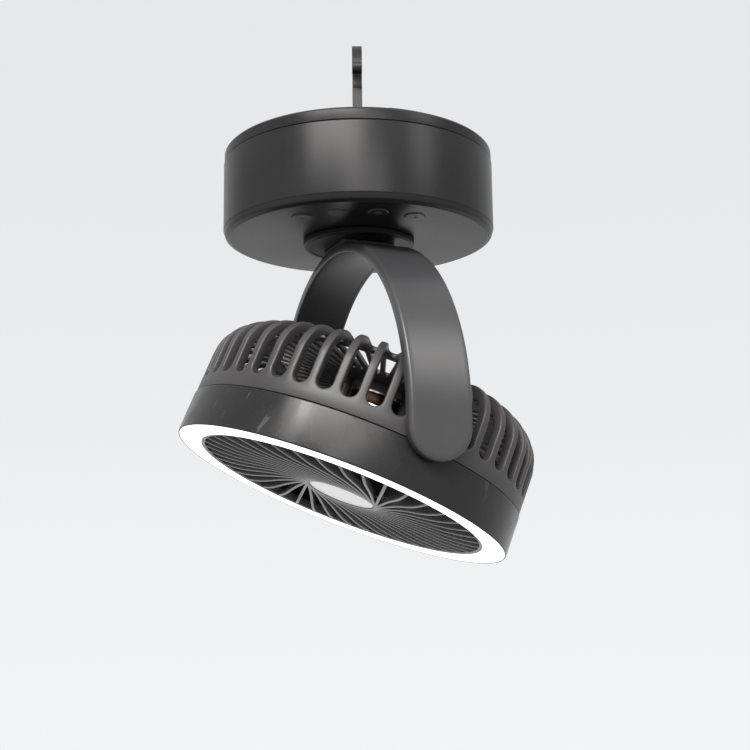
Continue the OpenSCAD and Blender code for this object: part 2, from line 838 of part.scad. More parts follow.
module rear_shell() {
    at_head() color(charcoal) difference() {
        union() {
            rotate_extrude() {
                difference() {
                    dome(0);
                    dome(head_wall + tongue_t);
                    square([back_ring_r, 2 * back_d]);
                    translate([0, -2 * head_seam_d]) square([cage_in, 2 * head_seam_d]);
                }
                // the back's ring, spokes and middle plate, a little lower than the ribs
                translate([0, plate_z]) square([back_ring_r + 1, plate_t]);
                // the tongue inside the front housing
                translate([cage_in, -head_seam_d - tongue_h]) square([tongue_t, tongue_h + 2]);
            }
            at_posts(post_ring_h, head_post_turn, 4) translate([0, 0, web_z + web_t + 0.1])
                cylinder(r = head_post_r, h = -head_seam_d - web_z - web_t - 0.1 + 2);
            // pivot pads and sockets
            at_pivots() translate([0, 0, pivot_in]) cylinder(r = pad_face_r, h = pivot_face - pivot_in);
            // the motor's posts and the collar round its end
            at_posts(bracket_screw_ring, 30, 3) translate([0, 0, mount_z])
                cylinder(r = mount_r, h = plate_z + plate_t / 2 - mount_z);
            translate([0, 0, plate_z - collar_h])
                ring(motor_r + side_gap + collar_t, motor_r + side_gap, collar_h + plate_t / 2);
        }
        at_pivots() translate([0, 0, pivot_in - 1])
            cylinder(r = stub_r + run_gap, h = pivot_face - pivot_in + 2);
        for (k = [0 : slot_count - 1]) let (turn = 360 / slot_count * (k + 0.5),
            off = abs(abs((turn + 90) % 180 - 90)))
            rotate([0, 0, turn]) slot_cutter(off < pad_skip ? short_low : slot_low);
        for (k = [0 : window_count - 1]) rotate([0, 0, 360 / window_count * (k + 0.5)]) back_window();
        at_posts(post_ring_h, head_post_turn, 4) translate([0, 0, web_z]) cylinder(r = 1.05, h = 9);
        at_posts(bracket_screw_ring, 30, 3) translate([0, 0, mount_z - 1]) cylinder(r = 0.95, h = 9);
    }
}

module head_screws() {
    at_head() color(steel) at_posts(post_ring_h, head_post_turn, 4) translate([0, 0, web_z + 1.4])
        rotate([180, 0, 0]) screw(7, 2.3, 1.3, 1);
}

module motor_bracket() {
    at_head() color(steel) translate([0, 0, mount_z - bracket_t]) difference() {
        cylinder(r = bracket_r, h = bracket_t);
        translate([0, 0, -1]) cylinder(r = bush_r + 1, h = bracket_t + 2);
        at_posts(bracket_screw_ring, 30, 3) translate([0, 0, -1]) cylinder(r = 1, h = bracket_t + 2);
        at_posts(motor_screw_ring, 0, 2) translate([0, 0, -1]) cylinder(r = 1.1, h = bracket_t + 2);
    }
}

module bracket_screws() {
    at_head() color(steel) at_posts(bracket_screw_ring, 30, 3) translate([0, 0, mount_z - bracket_t])
        rotate([180, 0, 0]) screw(9, 1.7, 1.2, 0.9);
}

module motor_screws() {
    at_head() color(steel) at_posts(motor_screw_ring, 0, 2) translate([0, 0, mount_z - bracket_t])
        rotate([180, 0, 0]) screw(bracket_t + can_end, 1.9, 1.3, 1);
}

module motor_can() {
    at_head() color(steel) translate([0, 0, mount_z]) difference() {
        cylinder(r = motor_r, h = motor_l);
        translate([0, 0, can_end]) cylinder(r = motor_r - can_wall, h = motor_l - 2 * can_end);
        translate([0, 0, -1]) cylinder(r = bush_r, h = motor_l + 2);
        at_posts(motor_screw_ring, 0, 2) translate([0, 0, -1]) cylinder(r = 1.05, h = can_end + 2);
    }
}

module motor_bushes() {
    at_head() color(copper) for (z = [mount_z, mount_z + motor_l - can_end])
        translate([0, 0, z]) ring(bush_r, shaft_r + run_gap, can_end);
}

module motor_rotor() {
    at_head() color(copper) translate([0, 0, mount_z + can_end + 1])
        ring(motor_r - can_wall - 0.8, shaft_r, motor_l - 2 * can_end - 2);
}

module motor_shaft() {
    at_head() color(steel) translate([0, 0, shaft_front])
        cylinder(r = shaft_r, h = mount_z + motor_l - 0.5 - shaft_front);
}

module shaft_clip() {
    at_head() color(steel) translate([0, 0, hub_top - hub_h - 1.2]) ring(shaft_r + 2, shaft_r, 1.2);
}

// ---- impeller ------------------------------------------------------------

// A blade is a lofted sheet. Its chord turns about the shaft while it rises, and its tip sweeps forward.
function blade_turn(u, v) = (v - 0.5) * blade_chord * (0.8 + 0.35 * u) + 16 * u * u;
function blade_rise(u, v) = (0.5 - v) * blade_pitch * (1 - 0.3 * u) + 2.2 * sin(180 * v) * (1 - 0.4 * u);
function blade_skin(side) = [
    for (i = [0 : span_steps], j = [0 : chord_steps])
        let (u = i / span_steps, v = j / chord_steps,
            r = spinner_r - hub_wall / 2 + (blade_r - spinner_r + hub_wall / 2) * u,
            edge = (j == 0 || j == chord_steps) ? 0.4 : 1)
        [r * cos(blade_turn(u, v)), r * sin(blade_turn(u, v)), blade_rise(u, v) + side * edge * blade_t / 2]
];

module blade() {
    row = chord_steps + 1;
    top = (span_steps + 1) * row;
    last = span_steps * row;
    polyhedron(
        points = concat(blade_skin(-1), blade_skin(1)),
        faces = concat(
            [for (i = [0 : span_steps - 1], j = [0 : chord_steps - 1]) each
                let (a = i * row + j) [[a, a + row, a + 1], [a + 1, a + row, a + row + 1]]],
            [for (i = [0 : span_steps - 1], j = [0 : chord_steps - 1]) each
                let (a = top + i * row + j) [[a, a + 1, a + row], [a + 1, a + row + 1, a + row]]],
            [for (j = [0 : chord_steps - 1]) each
                [[j, j + 1, top + j], [j + 1, top + j + 1, top + j],
                 [last + j, top + last + j, last + j + 1],
                 [last + j + 1, top + last + j, top + last + j + 1]]],
            [for (i = [0 : span_steps - 1]) each let (a = i * row, b = i * row + chord_steps)
                [[a, top + a, a + row], [a + row, top + a, top + a + row],
                 [b, b + row, top + b], [b + row, top + b + row, top + b]]]
        )
    );
}

module impeller() {
    at_head() color([0.14, 0.14, 0.15]) union() {
        difference() {
            translate([0, 0, hub_top - hub_h]) difference() {
                cylinder(r = spinner_r, h = hub_h);
                translate([0, 0, hub_wall]) cylinder(r = spinner_r - hub_wall, h = hub_h);
            }
            translate([0, 0, hub_top - hub_h - 1]) cylinder(r = shaft_r, h = hub_h + 2);
        }
        translate([0, 0, hub_top - hub_h]) ring(boss_r, shaft_r, hub_h - 4);
        for (k = [0 : blade_count - 1]) rotate([0, 0, 360 / blade_count * k])
            translate([0, 0, blade_mid]) blade();
    }
}

// ---- build ---------------------------------------------------------------

hook();
hook_pin();
foot_pads();
cover_screws();
base_cover();
base_cup();
battery_cells();
battery_tray();
main_board();
charging_socket();
charge_lens();
key_board();
tact_switches();
key_power();
key_speed();
key_light();
key_timer();
swivel_washer();
swivel_nut();
turntable();
yoke();
yoke_liner();
yoke_screws();
pivot_washers();
pivot_clips();
front_housing();
led_diffuser();
led_board();
front_grille();
centre_cap();
rear_shell();
head_screws();
motor_bracket();
bracket_screws();
motor_screws();
motor_can();
motor_bushes();
motor_rotor();
motor_shaft();
impeller();
shaft_clip();
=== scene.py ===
"""A portable camping fan that hangs from its fold-out hook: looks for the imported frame."""
import json

import bmesh
import bpy
import numpy as np
from bpy.props import FloatProperty, FloatVectorProperty, IntProperty, PointerProperty
from mathutils import Matrix, Vector


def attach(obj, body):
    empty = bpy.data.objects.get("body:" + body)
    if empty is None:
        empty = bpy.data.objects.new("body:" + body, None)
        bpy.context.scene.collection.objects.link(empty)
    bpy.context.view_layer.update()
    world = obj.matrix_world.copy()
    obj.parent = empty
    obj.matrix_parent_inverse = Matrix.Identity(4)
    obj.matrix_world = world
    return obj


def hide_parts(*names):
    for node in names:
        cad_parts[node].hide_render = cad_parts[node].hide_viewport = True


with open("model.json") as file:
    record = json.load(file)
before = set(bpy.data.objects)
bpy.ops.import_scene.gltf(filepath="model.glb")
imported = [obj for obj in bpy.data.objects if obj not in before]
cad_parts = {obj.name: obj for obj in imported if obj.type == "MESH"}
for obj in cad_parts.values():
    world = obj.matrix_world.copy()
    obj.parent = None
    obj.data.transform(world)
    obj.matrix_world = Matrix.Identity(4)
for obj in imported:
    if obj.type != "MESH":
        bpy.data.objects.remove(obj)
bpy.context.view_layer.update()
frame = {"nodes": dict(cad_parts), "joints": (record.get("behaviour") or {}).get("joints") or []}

bl_info = {
    "name": "Camping fan looks",
    "version": (1, 0, 0),
    "blender": (4, 5, 0),
    "location": "View3D > Sidebar > Camping fan",
    "description": "Builds the visible pieces and finishes of a hanging camping fan round its frame",
    "category": "Object",
}

MM = 0.001
UP = (0, 0, 1)
MERGE = 2e-7  # metres within which points become one
TINY = 1e-8  # metres under which an edge is gone


# ---- where things are, read from the frame ----

def frame_joint(name):
    """The record's joint of that name."""
    return next(joint for joint in frame["joints"] if joint["name"] == name)


def unit(v):
    """v divided by its length."""
    v = np.asarray(v, float)
    return v / np.linalg.norm(v)


TILT_AXIS = unit(frame_joint("tilt")["axis"])
SPIN_AXIS = unit(frame_joint("impeller_spin")["axis"])
PIVOT = np.array(frame_joint("tilt")["pos_m"])
FLAT_FACE = np.array(frame_joint("swivel")["pos_m"])
HEAD_TURN = np.stack([TILT_AXIS, np.cross(SPIN_AXIS, TILT_AXIS), SPIN_AXIS])
YOKE_TURN = np.stack([TILT_AXIS, np.cross([0, 0, 1], TILT_AXIS), [0, 0, 1]])


def in_head(points):
    """Head millimetres, x along the tilt axis and z back along the shaft, as the frame's metres."""
    return np.asarray(points, float) * MM @ HEAD_TURN + PIVOT


def in_yoke(points):
    """Yoke millimetres, x along the tilt axis and z up from it, as the frame's metres."""
    return np.asarray(points, float) * MM @ YOKE_TURN + PIVOT


def on_base(points):
    """Base millimetres, z up from the flat face, as the frame's metres."""
    return np.asarray(points, float) * MM + FLAT_FACE


# ---- finishes ----

class Field:
    """One output of a material's node. Its operators add the Math nodes that work them out."""

    def __init__(self, finish, socket):
        self.finish = finish
        self.socket = socket

    def calc(self, operation, first, second):
        """The Math node for this operation."""
        return self.finish.add("ShaderNodeMath", {"operation": operation}, {0: first, 1: second})

    def __add__(self, other):
        return self.calc("ADD", self, other)

    __radd__ = __add__

    def __sub__(self, other):
        return self.calc("SUBTRACT", self, other)

    def __rsub__(self, other):
        return self.calc("SUBTRACT", other, self)

    def __mul__(self, other):
        return self.calc("MULTIPLY", self, other)

    __rmul__ = __mul__

    def between(self, low, high):
        """0 at low and below, 1 at high and above, with a soft step between them."""
        return self.finish.add("ShaderNodeMapRange", {"interpolation_type": "SMOOTHSTEP"},
                               {"Value": self, "From Min": low, "From Max": high})


class Finish:
    """A node tree that is filled through one method, add."""

    def __init__(self, owner):
        self.owner = owner
        owner.use_nodes = True
        self.tree = owner.node_tree
        self.tree.nodes.clear()

    def add(self, kind, settings=None, inputs=None, output=0):
        """Adds a node of this kind: its settings first, then its sockets' values or links."""
        node = self.tree.nodes.new(kind)
        for name, value in (settings or {}).items():
            setattr(node, name, value)
        for name, value in (inputs or {}).items():
            if isinstance(value, Field):
                self.tree.links.new(value.socket, node.inputs[name])
            else:
                node.inputs[name].default_value = value
        if not len(node.outputs):
            return None
        return Field(self, node.outputs[output])

    def place(self):
        """Object coordinates, in metres."""
        return self.add("ShaderNodeTexCoord", output="Object")

    def stretched(self, scale, turn=(0, 0, 0)):
        """Object coordinates turned and then scaled by these factors."""
        return self.add("ShaderNodeMapping", {"vector_type": "POINT"},
                        {"Vector": self.place(), "Scale": scale, "Rotation": turn})

    def noise(self, scale, detail=2.0, rough=0.5, where=None, twist=0.0):
        """Fractal noise about 0.5 with this many cells to the metre."""
        return self.add("ShaderNodeTexNoise", {}, {
            "Vector": where or self.place(), "Scale": scale, "Detail": detail,
            "Roughness": rough, "Distortion": twist})

    def mix(self, factor, low, high):
        """The colour low where factor is 0 and high where it is 1."""
        return self.add("ShaderNodeMix", {"data_type": "RGBA"}, {0: factor, 6: low, 7: high}, output=2)

    def bump(self, height, strength, distance, normal=None):
        """The normal that this height gives, over another normal if there is one."""
        inputs = {"Height": height, "Strength": strength, "Distance": distance}
        if normal is not None:
            inputs["Normal"] = normal
        return self.add("ShaderNodeBump", {}, inputs)

    def close(self, shader):
        """Joins the shader to the material's output."""
        self.add("ShaderNodeOutputMaterial", {}, {"Surface": shader})
        return self.owner


def shade(colour, level=1.0):
    """A colour with alpha, multiplied by level."""
    return (colour[0] * level, colour[1] * level, colour[2] * level, 1)


def moulded(name, colour, roughness, grain=0.25, smears=0.0, wear=0.5, edge=0.0004, specular=0.5,
            scuffs=0.0):
    """Moulded plastic: a cloudy tone, a fine spark grain in the bump, edges that catch the light and are
    rubbed paler, and smears and scuffs in the gloss. The tone is the colour times 1 plus a slow noise; the
    rubbed edge is where the rounded normal turns away from the flat one."""
    f = Finish(bpy.data.materials.new(name))
    cloud = f.noise(22, 3)
    speck = f.noise(900, 2)
    fine = f.noise(3800, 2, 0.6)
    bevelled = f.add("ShaderNodeBevel", {"samples": 6}, {"Radius": edge})
    flat = f.add("ShaderNodeNewGeometry", output="Normal")
    likeness = f.add("ShaderNodeVectorMath", {"operation": "DOT_PRODUCT"}, {0: bevelled, 1: flat},
                     output="Value")
    rub = (1 - likeness).between(0.02, 0.30) * f.noise(160, 3, 0.65).between(0.35, 0.7)
    tone = f.mix(cloud.between(0.3, 0.7) * 0.6 + speck * 0.4, shade(colour, 0.86), shade(colour, 1.16))
    tone = f.mix(rub * wear, tone, shade(colour, 3.2))
    gloss = roughness + (cloud - 0.5) * 0.10 + (speck - 0.5) * 0.05
    if smears:
        wiped = f.noise(26, 3, 0.6, twist=1.4)
        gloss = gloss + wiped.between(0.42, 0.66) * smears
    if scuffs:
        lines = f.noise(60, 4, 0.7, where=f.stretched((1, 7, 1), (0.4, 0.9, 0.3)))
        scratch = lines.between(0.60, 0.68) * f.noise(35, 2).between(0.52, 0.68)
        tone = f.mix(scratch * scuffs, tone, shade(colour, 3.5))
        gloss = gloss + scratch * 0.2
    normal = f.bump(fine + speck * 0.4, grain, 0.00006, bevelled)
    return f.close(f.add("ShaderNodeBsdfPrincipled", {}, {
        "Base Color": tone, "Roughness": gloss, "Normal": normal, "Specular IOR Level": specular}))


def rubber(name, colour):
    """Matt rubber with a powdery bloom and a soft dimple."""
    f = Finish(bpy.data.materials.new(name))
    bloom = f.noise(240, 3, 0.6)
    return f.close(f.add("ShaderNodeBsdfPrincipled", {}, {
        "Base Color": f.mix(bloom, shade(colour, 0.8), shade(colour, 1.8)),
        "Roughness": 0.72 + (bloom - 0.5) * 0.2, "Specular IOR Level": 0.3,
        "Normal": f.bump(f.noise(1600, 2), 0.3, 0.00008)}))


def metal(name, colour, roughness, grooves=(1, 1, 1), tarnish=0.3):
    """Plated or turned metal with fine drawn lines and slow stains."""
    f = Finish(bpy.data.materials.new(name))
    lines = f.noise(1500, 2, where=f.stretched(grooves))
    stain = f.noise(90, 3, 0.6).between(0.45, 0.75)
    return f.close(f.add("ShaderNodeBsdfPrincipled", {}, {
        "Base Color": f.mix(stain * tarnish, shade(colour), shade(colour, 0.62)), "Metallic": 1.0,
        "Roughness": roughness + (lines - 0.5) * 0.12 + stain * 0.12,
        "Normal": f.bump(lines, 0.2, 0.00003)}))


def light_diffuser(name, colour, strength):
    """Milky plastic with the light behind it: it glows, a little more in some places than in others."""
    f = Finish(bpy.data.materials.new(name))
    glow = f.noise(30, 2)
    return f.close(f.add("ShaderNodeBsdfPrincipled", {}, {
        "Base Color": shade(colour), "Roughness": 0.32 + (glow - 0.5) * 0.1,
        "Emission Color": f.mix(glow, (0.96, 0.97, 1.0, 1), (1, 1, 1, 1)), "Emission Strength": strength}))


def white_plastic(name, colour, roughness):
    """Bright moulded plastic with a faint warm cloud and a fine grain."""
    f = Finish(bpy.data.materials.new(name))
    cloud = f.noise(40, 3)
    return f.close(f.add("ShaderNodeBsdfPrincipled", {}, {
        "Base Color": f.mix(cloud, shade(colour, 0.96), shade(colour, 1.03)),
        "Roughness": roughness + (cloud - 0.5) * 0.1,
        "Normal": f.bump(f.noise(2600, 2), 0.15, 0.00005)}))


def circuit_board(name, colour, trace):
    """Lacquered board: soft-edged copper tracks under the mask, on a cell pattern."""
    f = Finish(bpy.data.materials.new(name))
    cells = f.add("ShaderNodeTexVoronoi", {"feature": "DISTANCE_TO_EDGE", "distance": "EUCLIDEAN"},
                  {"Vector": f.place(), "Scale": 420.0})
    track = 1 - cells.between(0.03, 0.09)
    return f.close(f.add("ShaderNodeBsdfPrincipled", {}, {
        "Base Color": f.mix(track, shade(colour), shade(trace)),
        "Roughness": 0.28 + f.noise(300) * 0.1, "Normal": f.bump(track, 0.3, 0.00005)}))


def cell_wrap(name, colour):
    """Shrink wrap round a cell, with faint rings where it was drawn tight."""
    f = Finish(bpy.data.materials.new(name))
    rings = f.noise(500, 2, where=f.stretched((0.05, 1, 0.05)))
    return f.close(f.add("ShaderNodeBsdfPrincipled", {}, {
        "Base Color": f.mix(rings, shade(colour, 0.85), shade(colour, 1.2)),
        "Roughness": 0.25 + rings * 0.1, "Normal": f.bump(rings, 0.2, 0.00005)}))


def head_finish(colour):
    """Semi-gloss plastic of the head's wall, with wiped smudges and fine handling scuffs."""
    return moulded("head plastic", colour, 0.21, smears=0.10, scuffs=0.8, specular=0.22)


def base_finish(colour):
    """Satin plastic of the base."""
    return moulded("base plastic", colour, 0.3, specular=0.14)


def strap_finish(colour):
    """Satin plastic of the yoke."""
    return moulded("yoke plastic", colour, 0.36)


def cage_finish(colour):
    """Satin plastic of the rear cage."""
    return moulded("cage plastic", colour, 0.42, specular=0.3)


def blade_finish(colour):
    """Dark, dull plastic of the impeller."""
    return moulded("impeller plastic", colour, 0.45, wear=0.2, specular=0.25)


def ring_finish(strength):
    """Milky plastic of the light ring."""
    return light_diffuser("light diffuser", (0.95, 0.95, 0.96), strength)


# ---- sizes and colours that a user would change ----

def size(name, text, default):
    """A length in millimetres that a user may change."""
    return FloatProperty(name=name, description=text + ", in millimetres", default=default, min=0,
                         precision=2)


def height_of(name, text, default):
    """A height in millimetres that a user may change, and that may be under zero."""
    return FloatProperty(name=name, description=text + ", in millimetres", default=default)


def angle_of(name, text, default):
    """An angle in degrees that a user may change."""
    return FloatProperty(name=name, description=text + ", in degrees", default=default)


def paint(name, text, default):
    """A colour that a user may change."""
    return FloatVectorProperty(name=name, description="Colour of the " + text, subtype="COLOR", size=3,
                               min=0, max=1, default=default)


def power(name, text, default):
    """The power of a soft light that a user may change."""
    return FloatProperty(name=name, description="Power of the soft light " + text, default=default, min=0,
                         max=200, unit="POWER")


class FanFinishes(bpy.types.PropertyGroup):
    base_colour: paint("Base", "base's plastic", (0.012, 0.012, 0.013))
    yoke_colour: paint("Yoke", "yoke's plastic", (0.030, 0.030, 0.032))
    head_colour: paint("Head", "front housing", (0.013, 0.013, 0.0135))
    cage_colour: paint("Cage", "rear cage", (0.034, 0.033, 0.034))
    grille_colour: paint("Grille", "swirl grille", (0.085, 0.085, 0.088))
    blade_colour: paint("Blades", "impeller", (0.010, 0.009, 0.012))
    glow: FloatProperty(name="Light", description="Strength of the light ring", default=1.3, min=0, max=5)


class CageSizes(bpy.types.PropertyGroup):
    slot_count: IntProperty(name="Slots", description="Slots round the rear cage", default=46, min=12)
    slot_share: FloatProperty(name="Slot share", description="Share of a slot's pitch that is open",
                              default=0.67, min=0.3, max=0.8, subtype="FACTOR")
    rim_r: size("Radius", "Outer radius of the side wall", 83.6)
    seam_z: height_of("Seam", "Height of the seam over the tilt axis", -8.75)
    wall_top: size("Wall top", "Height at which the shoulder starts", 12.5)
    shoulder_r: size("Shoulder", "Radius of the shoulder", 19)
    depth: size("Depth", "Depth of a rib", 4.4)
    slot_tip: height_of("Slot tip", "Height of the slots' lower tips", -1.8)
    ring_r: size("Ring", "Outer radius of the back's ring", 61)
    ring_w: size("Ring width", "Width of the back's ring", 5)
    ring_drop: size("Ring drop", "How far the ring lies under the ribs' crest", 1.1)
    plate_t: size("Plate", "Thickness of the back's ring, spokes and middle plate", 2.4)
    hub_r: size("Middle plate", "Radius of the back's middle plate", 30)
    spoke_w: size("Spoke", "Width of a spoke", 2.3)
    edge: size("Edge", "Radius of the ribs' rounded edges", 0.75)
    arm_w: size("Arm", "Width of the arm that short slots stay clear of", 29)
    post_r: size("Post", "Radius of a motor post", 2.6)
    post_ring: size("Post ring", "Distance of the motor posts from the shaft", 18.1)


class GrilleSizes(bpy.types.PropertyGroup):
    rib_count: IntProperty(name="Ribs", description="Swirl ribs of the front grille", default=41, min=8)
    rib_t: size("Rib", "Thickness of a swirl rib", 1.5)
    rib_d: size("Rib depth", "Depth of a swirl rib", 3)
    eye_r: size("Eye", "Radius of the circle that the straight ribs touch", 17.35)
    duct_r: size("Duct", "Inner radius of the air duct", 71.1)
    rim_r: size("Rim", "Outer radius of the grille's rim", 72.3)
    cap_r: size("Cap", "Radius of the centre cap", 16.5)
    middle_z: height_of("Middle", "Height of the grille's middle", -27)
    crown: size("Crown", "How far the ribs' crest stands out from the middle", 1.7)
    crest_r: size("Crest", "Radius at which the ribs stand out furthest", 58)
    crest_w: size("Crest width", "Width of the crest", 18)


class ImpellerSizes(bpy.types.PropertyGroup):
    blade_count: IntProperty(name="Blades", description="Blades of the impeller", default=5, min=2)
    tip_r: size("Tips", "Radius of the blade tips", 68)
    hub_r: size("Hub", "Radius of the hub", 19)
    hub_h: size("Hub height", "Height of the hub", 22)
    front_z: height_of("Hub front", "Height of the hub's front", -19.6)
    middle_z: height_of("Blade middle", "Height of the blades' middle", -8.6)
    chord: angle_of("Chord", "Angle that a blade's chord spans", 46)
    pitch: size("Pitch", "Rise of a blade from edge to edge", 20)
    blade_t: size("Blade", "Thickness of a blade", 1.8)


class YokeSizes(bpy.types.PropertyGroup):
    strap_w: size("Strap width", "Width of the yoke's strap", 29)
    strap_t: size("Strap thickness", "Thickness of the yoke's strap", 5.2)
    inner_r: size("Inner radius", "Radius of the arch's inner face", 85.4)
    leg: size("Leg", "Straight length of a leg above the tilt axis", 8)
    bevel: size("Bevel", "Bevel round the strap's outer edge", 0.9)


class BaseSizes(bpy.types.PropertyGroup):
    rim_r: size("Radius", "Radius of the base", 68)
    cup_h: size("Cup", "Height of the cup, from the flat face to the seam", 37.4)
    cover_h: size("Cover", "Height of the cover above the seam", 6.4)
    key_ring: size("Key ring", "Distance of the keys from the base's axis", 50)
    key_pitch: angle_of("Key pitch", "Angle between neighbouring keys", 21)
    hook_len: size("Hook", "Distance from the hook's hinge to its crook's middle", 48.8)


class StageSettings(bpy.types.PropertyGroup):
    key_watts: power("Key", "at the upper left", 25)
    side_watts: power("Side", "at the upper right", 6)
    front_watts: power("Front", "in front", 7)
    fill: FloatProperty(name="Fill", description="Strength of the even light from all round", default=0.5,
                        min=0, max=2)
    floor_colour: paint("Floor", "floor", (0.8, 0.8, 0.8))


# ---- pieces and lamps ----

def finish_piece(obj, body, material, nodes=()):
    """Rides, slots and paints a piece, which stands for these CAD nodes."""
    obj.data.materials.clear()
    obj.data.materials.append(material)
    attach(obj, body)
    if nodes:
        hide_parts(*nodes)


def soft_light(name, bearing, distance, spread, watts):
    """A soft light that the camera doesn't see, aimed at the object's middle. bearing is its angle to the
    right of the object's front and its height, in degrees, and spread its width and height."""
    across, height = np.radians(bearing)
    middle = Vector((0, 0, -0.15))
    way = Vector((np.sin(across) * np.cos(height), -np.cos(across) * np.cos(height), np.sin(height)))
    lamp = bpy.data.lights.new(name, "AREA")
    lamp.shape = "RECTANGLE"
    lamp.size, lamp.size_y = spread
    lamp.energy = watts
    lamp.color = (1, 0.97, 0.94)
    obj = bpy.data.objects.new(name, lamp)
    obj.location = middle + way * distance
    obj.rotation_euler = (-way).to_track_quat("-Z", "Y").to_euler()
    obj.visible_camera = False
    bpy.context.scene.collection.objects.link(obj)


def seen_ray(f):
    """1 for what the camera sees, straight on, in a gloss or through a clear piece, and 0 for the light
    that falls on the object."""
    return (f.add("ShaderNodeLightPath", output="Is Camera Ray")
            + f.add("ShaderNodeLightPath", output="Is Glossy Ray")
            + f.add("ShaderNodeLightPath", output="Is Transmission Ray"))


# ---- surfaces worked out on grids ----

def grid(points, around=(False, False)):
    """Corners and four-sided faces of a grid of points, rows by columns by 3. around says whether the last
    row joins the first, and whether the last column does."""
    rows, columns = points.shape[:2]
    down = np.arange(rows if around[0] else rows - 1)[:, None]
    across = np.arange(columns if around[1] else columns - 1)[None, :]
    below = (down + 1) % rows
    beside = (across + 1) % columns
    faces = np.stack(np.broadcast_arrays(
        down * columns + across, down * columns + beside,
        below * columns + beside, below * columns + across), -1)
    return points.reshape(-1, 3), faces.reshape(-1, 4)


def grids(points, around=(False, False)):
    """The same for a stack of like grids: copies by rows by columns by 3."""
    copies, rows, columns = points.shape[:3]
    _, faces = grid(points[0], around)
    faces = faces[None] + (np.arange(copies) * rows * columns)[:, None, None]
    return points.reshape(-1, 3), faces.reshape(-1, 4)


def solid(name, *skins, sharp=40):
    """One smooth object from several grids. Points that meet are merged, faces that have shrunk to nothing
    go, all faces are turned outwards, and edges sharper than this angle stay crisp."""
    counts = np.cumsum([0] + [len(points) for points, _ in skins])
    points = np.concatenate([points for points, _ in skins])
    faces = np.concatenate([faces + start for (_, faces), start in zip(skins, counts)])
    mesh = bpy.data.meshes.new(name)
    mesh.from_pydata(points, [], faces.tolist())
    work = bmesh.new()
    work.from_mesh(mesh)
    bmesh.ops.remove_doubles(work, verts=work.verts, dist=MERGE)
    bmesh.ops.dissolve_degenerate(work, edges=work.edges, dist=TINY)
    bmesh.ops.recalc_face_normals(work, faces=work.faces)
    work.to_mesh(mesh)
    work.free()
    return smooth(name, mesh, sharp)


def smooth(name, mesh, sharp=40):
    """An object in the scene for this mesh, smooth but for edges sharper than the angle."""
    mesh.polygons.foreach_set("use_smooth", np.ones(len(mesh.polygons), bool))
    mesh.set_sharp_from_angle(angle=np.radians(sharp))
    obj = bpy.data.objects.new(name, mesh)
    bpy.context.scene.collection.objects.link(obj)
    return obj


def carve(obj, cutters, operation="DIFFERENCE", sharp=40):
    """Takes closed cutters out of a closed object, or joins them to it, and deletes them."""
    for cutter in cutters:
        modifier = obj.modifiers.new("carve", "BOOLEAN")
        modifier.operation = operation
        modifier.solver = "EXACT"
        modifier.object = cutter
    evaluated = obj.evaluated_get(bpy.context.evaluated_depsgraph_get())
    mesh = bpy.data.meshes.new_from_object(evaluated)
    name = obj.name
    for old in [obj] + list(cutters):
        shape = old.data
        bpy.data.objects.remove(old)
        bpy.data.meshes.remove(shape)
    return smooth(name, mesh, sharp)


def rounded(corners, steps=6):
    """A closed outline whose corners (a, b, radius) are rounded: each becomes an arc that touches both of
    its sides. The arc's centre lies on the corner's bisector, at the radius over the sine of half the
    corner's angle, and its points are turned evenly from one touching point to the other."""
    corners = np.asarray(corners, float)
    here, radius = corners[:, :2], np.maximum(corners[:, 2:], 1e-6)
    back = np.roll(here, 1, 0) - here
    ahead = np.roll(here, -1, 0) - here
    back /= np.linalg.norm(back, axis=1, keepdims=True)
    ahead /= np.linalg.norm(ahead, axis=1, keepdims=True)
    half = np.arccos(np.clip((back * ahead).sum(1, keepdims=True), -1, 1)) / 2
    middle = (back + ahead) / np.linalg.norm(back + ahead, axis=1, keepdims=True)
    centre = here + middle * radius / np.sin(half)
    start = here + back * radius / np.tan(half) - centre
    end = here + ahead * radius / np.tan(half) - centre
    turn = np.pi - 2 * half[:, :, None]
    t = np.linspace(0, 1, steps)[None, :, None]
    arcs = (np.sin((1 - t) * turn) * start[:, None] + np.sin(t * turn) * end[:, None]) / np.sin(turn)
    return (centre[:, None] + arcs).reshape(-1, 2)


def rounded_box(left, right, low, high, radius, steps, far=None):
    """The rounded outline of a rectangle. far is the corners' radius at its high side, if it differs."""
    far = radius if far is None else far
    return rounded([(left, low, radius), (right, low, radius), (right, high, far), (left, high, far)], steps)


def turned(outline, place, steps, whole=True):
    """A turned solid: the outline's points (radius, height) go once round the axis. A whole outline is
    closed; any other one starts and ends on the axis."""
    angle = np.linspace(0, 2 * np.pi, steps, endpoint=False)[:, None]
    r, z = np.asarray(outline, float).T[:, None, :]
    points = np.stack([r * np.cos(angle), r * np.sin(angle), np.broadcast_to(z, (steps, z.shape[-1]))], -1)
    return grid(place(points), (True, whole))


def shut(rings):
    """Rings with a first and a last one added that are shrunk to the middles of the ends."""
    first, last = (np.broadcast_to(end.mean(-2, keepdims=True), end.shape)
                   for end in (rings[..., :1, :, :], rings[..., -1:, :, :]))
    return np.concatenate([first, rings, last], -3)


def swept(path, side, up, section, place):
    """A section carried along a path and closed at its ends: each section point (a, b) lies at the path's
    point plus a times side plus b times up. Arrays may hold many paths at once."""
    path, side, up = (np.asarray(v, float)[..., None, :] for v in (path, side, up))
    a, b = np.asarray(section, float).T[..., None]
    points = place(shut(path + a * side + b * up))
    return (grids if points.ndim == 4 else grid)(points, (False, True))


def capped(rings):
    """A tube of rings whose first and last ring are closed in their middles."""
    return grid(shut(rings), (False, True))


def upright(outline, low, high, place):
    """A closed outline (x, y) drawn up from one height to another."""
    ring = np.concatenate([outline, np.zeros((len(outline), 1))], -1)
    return capped(place(ring + np.array(UP) * np.array([low, high])[:, None, None]))


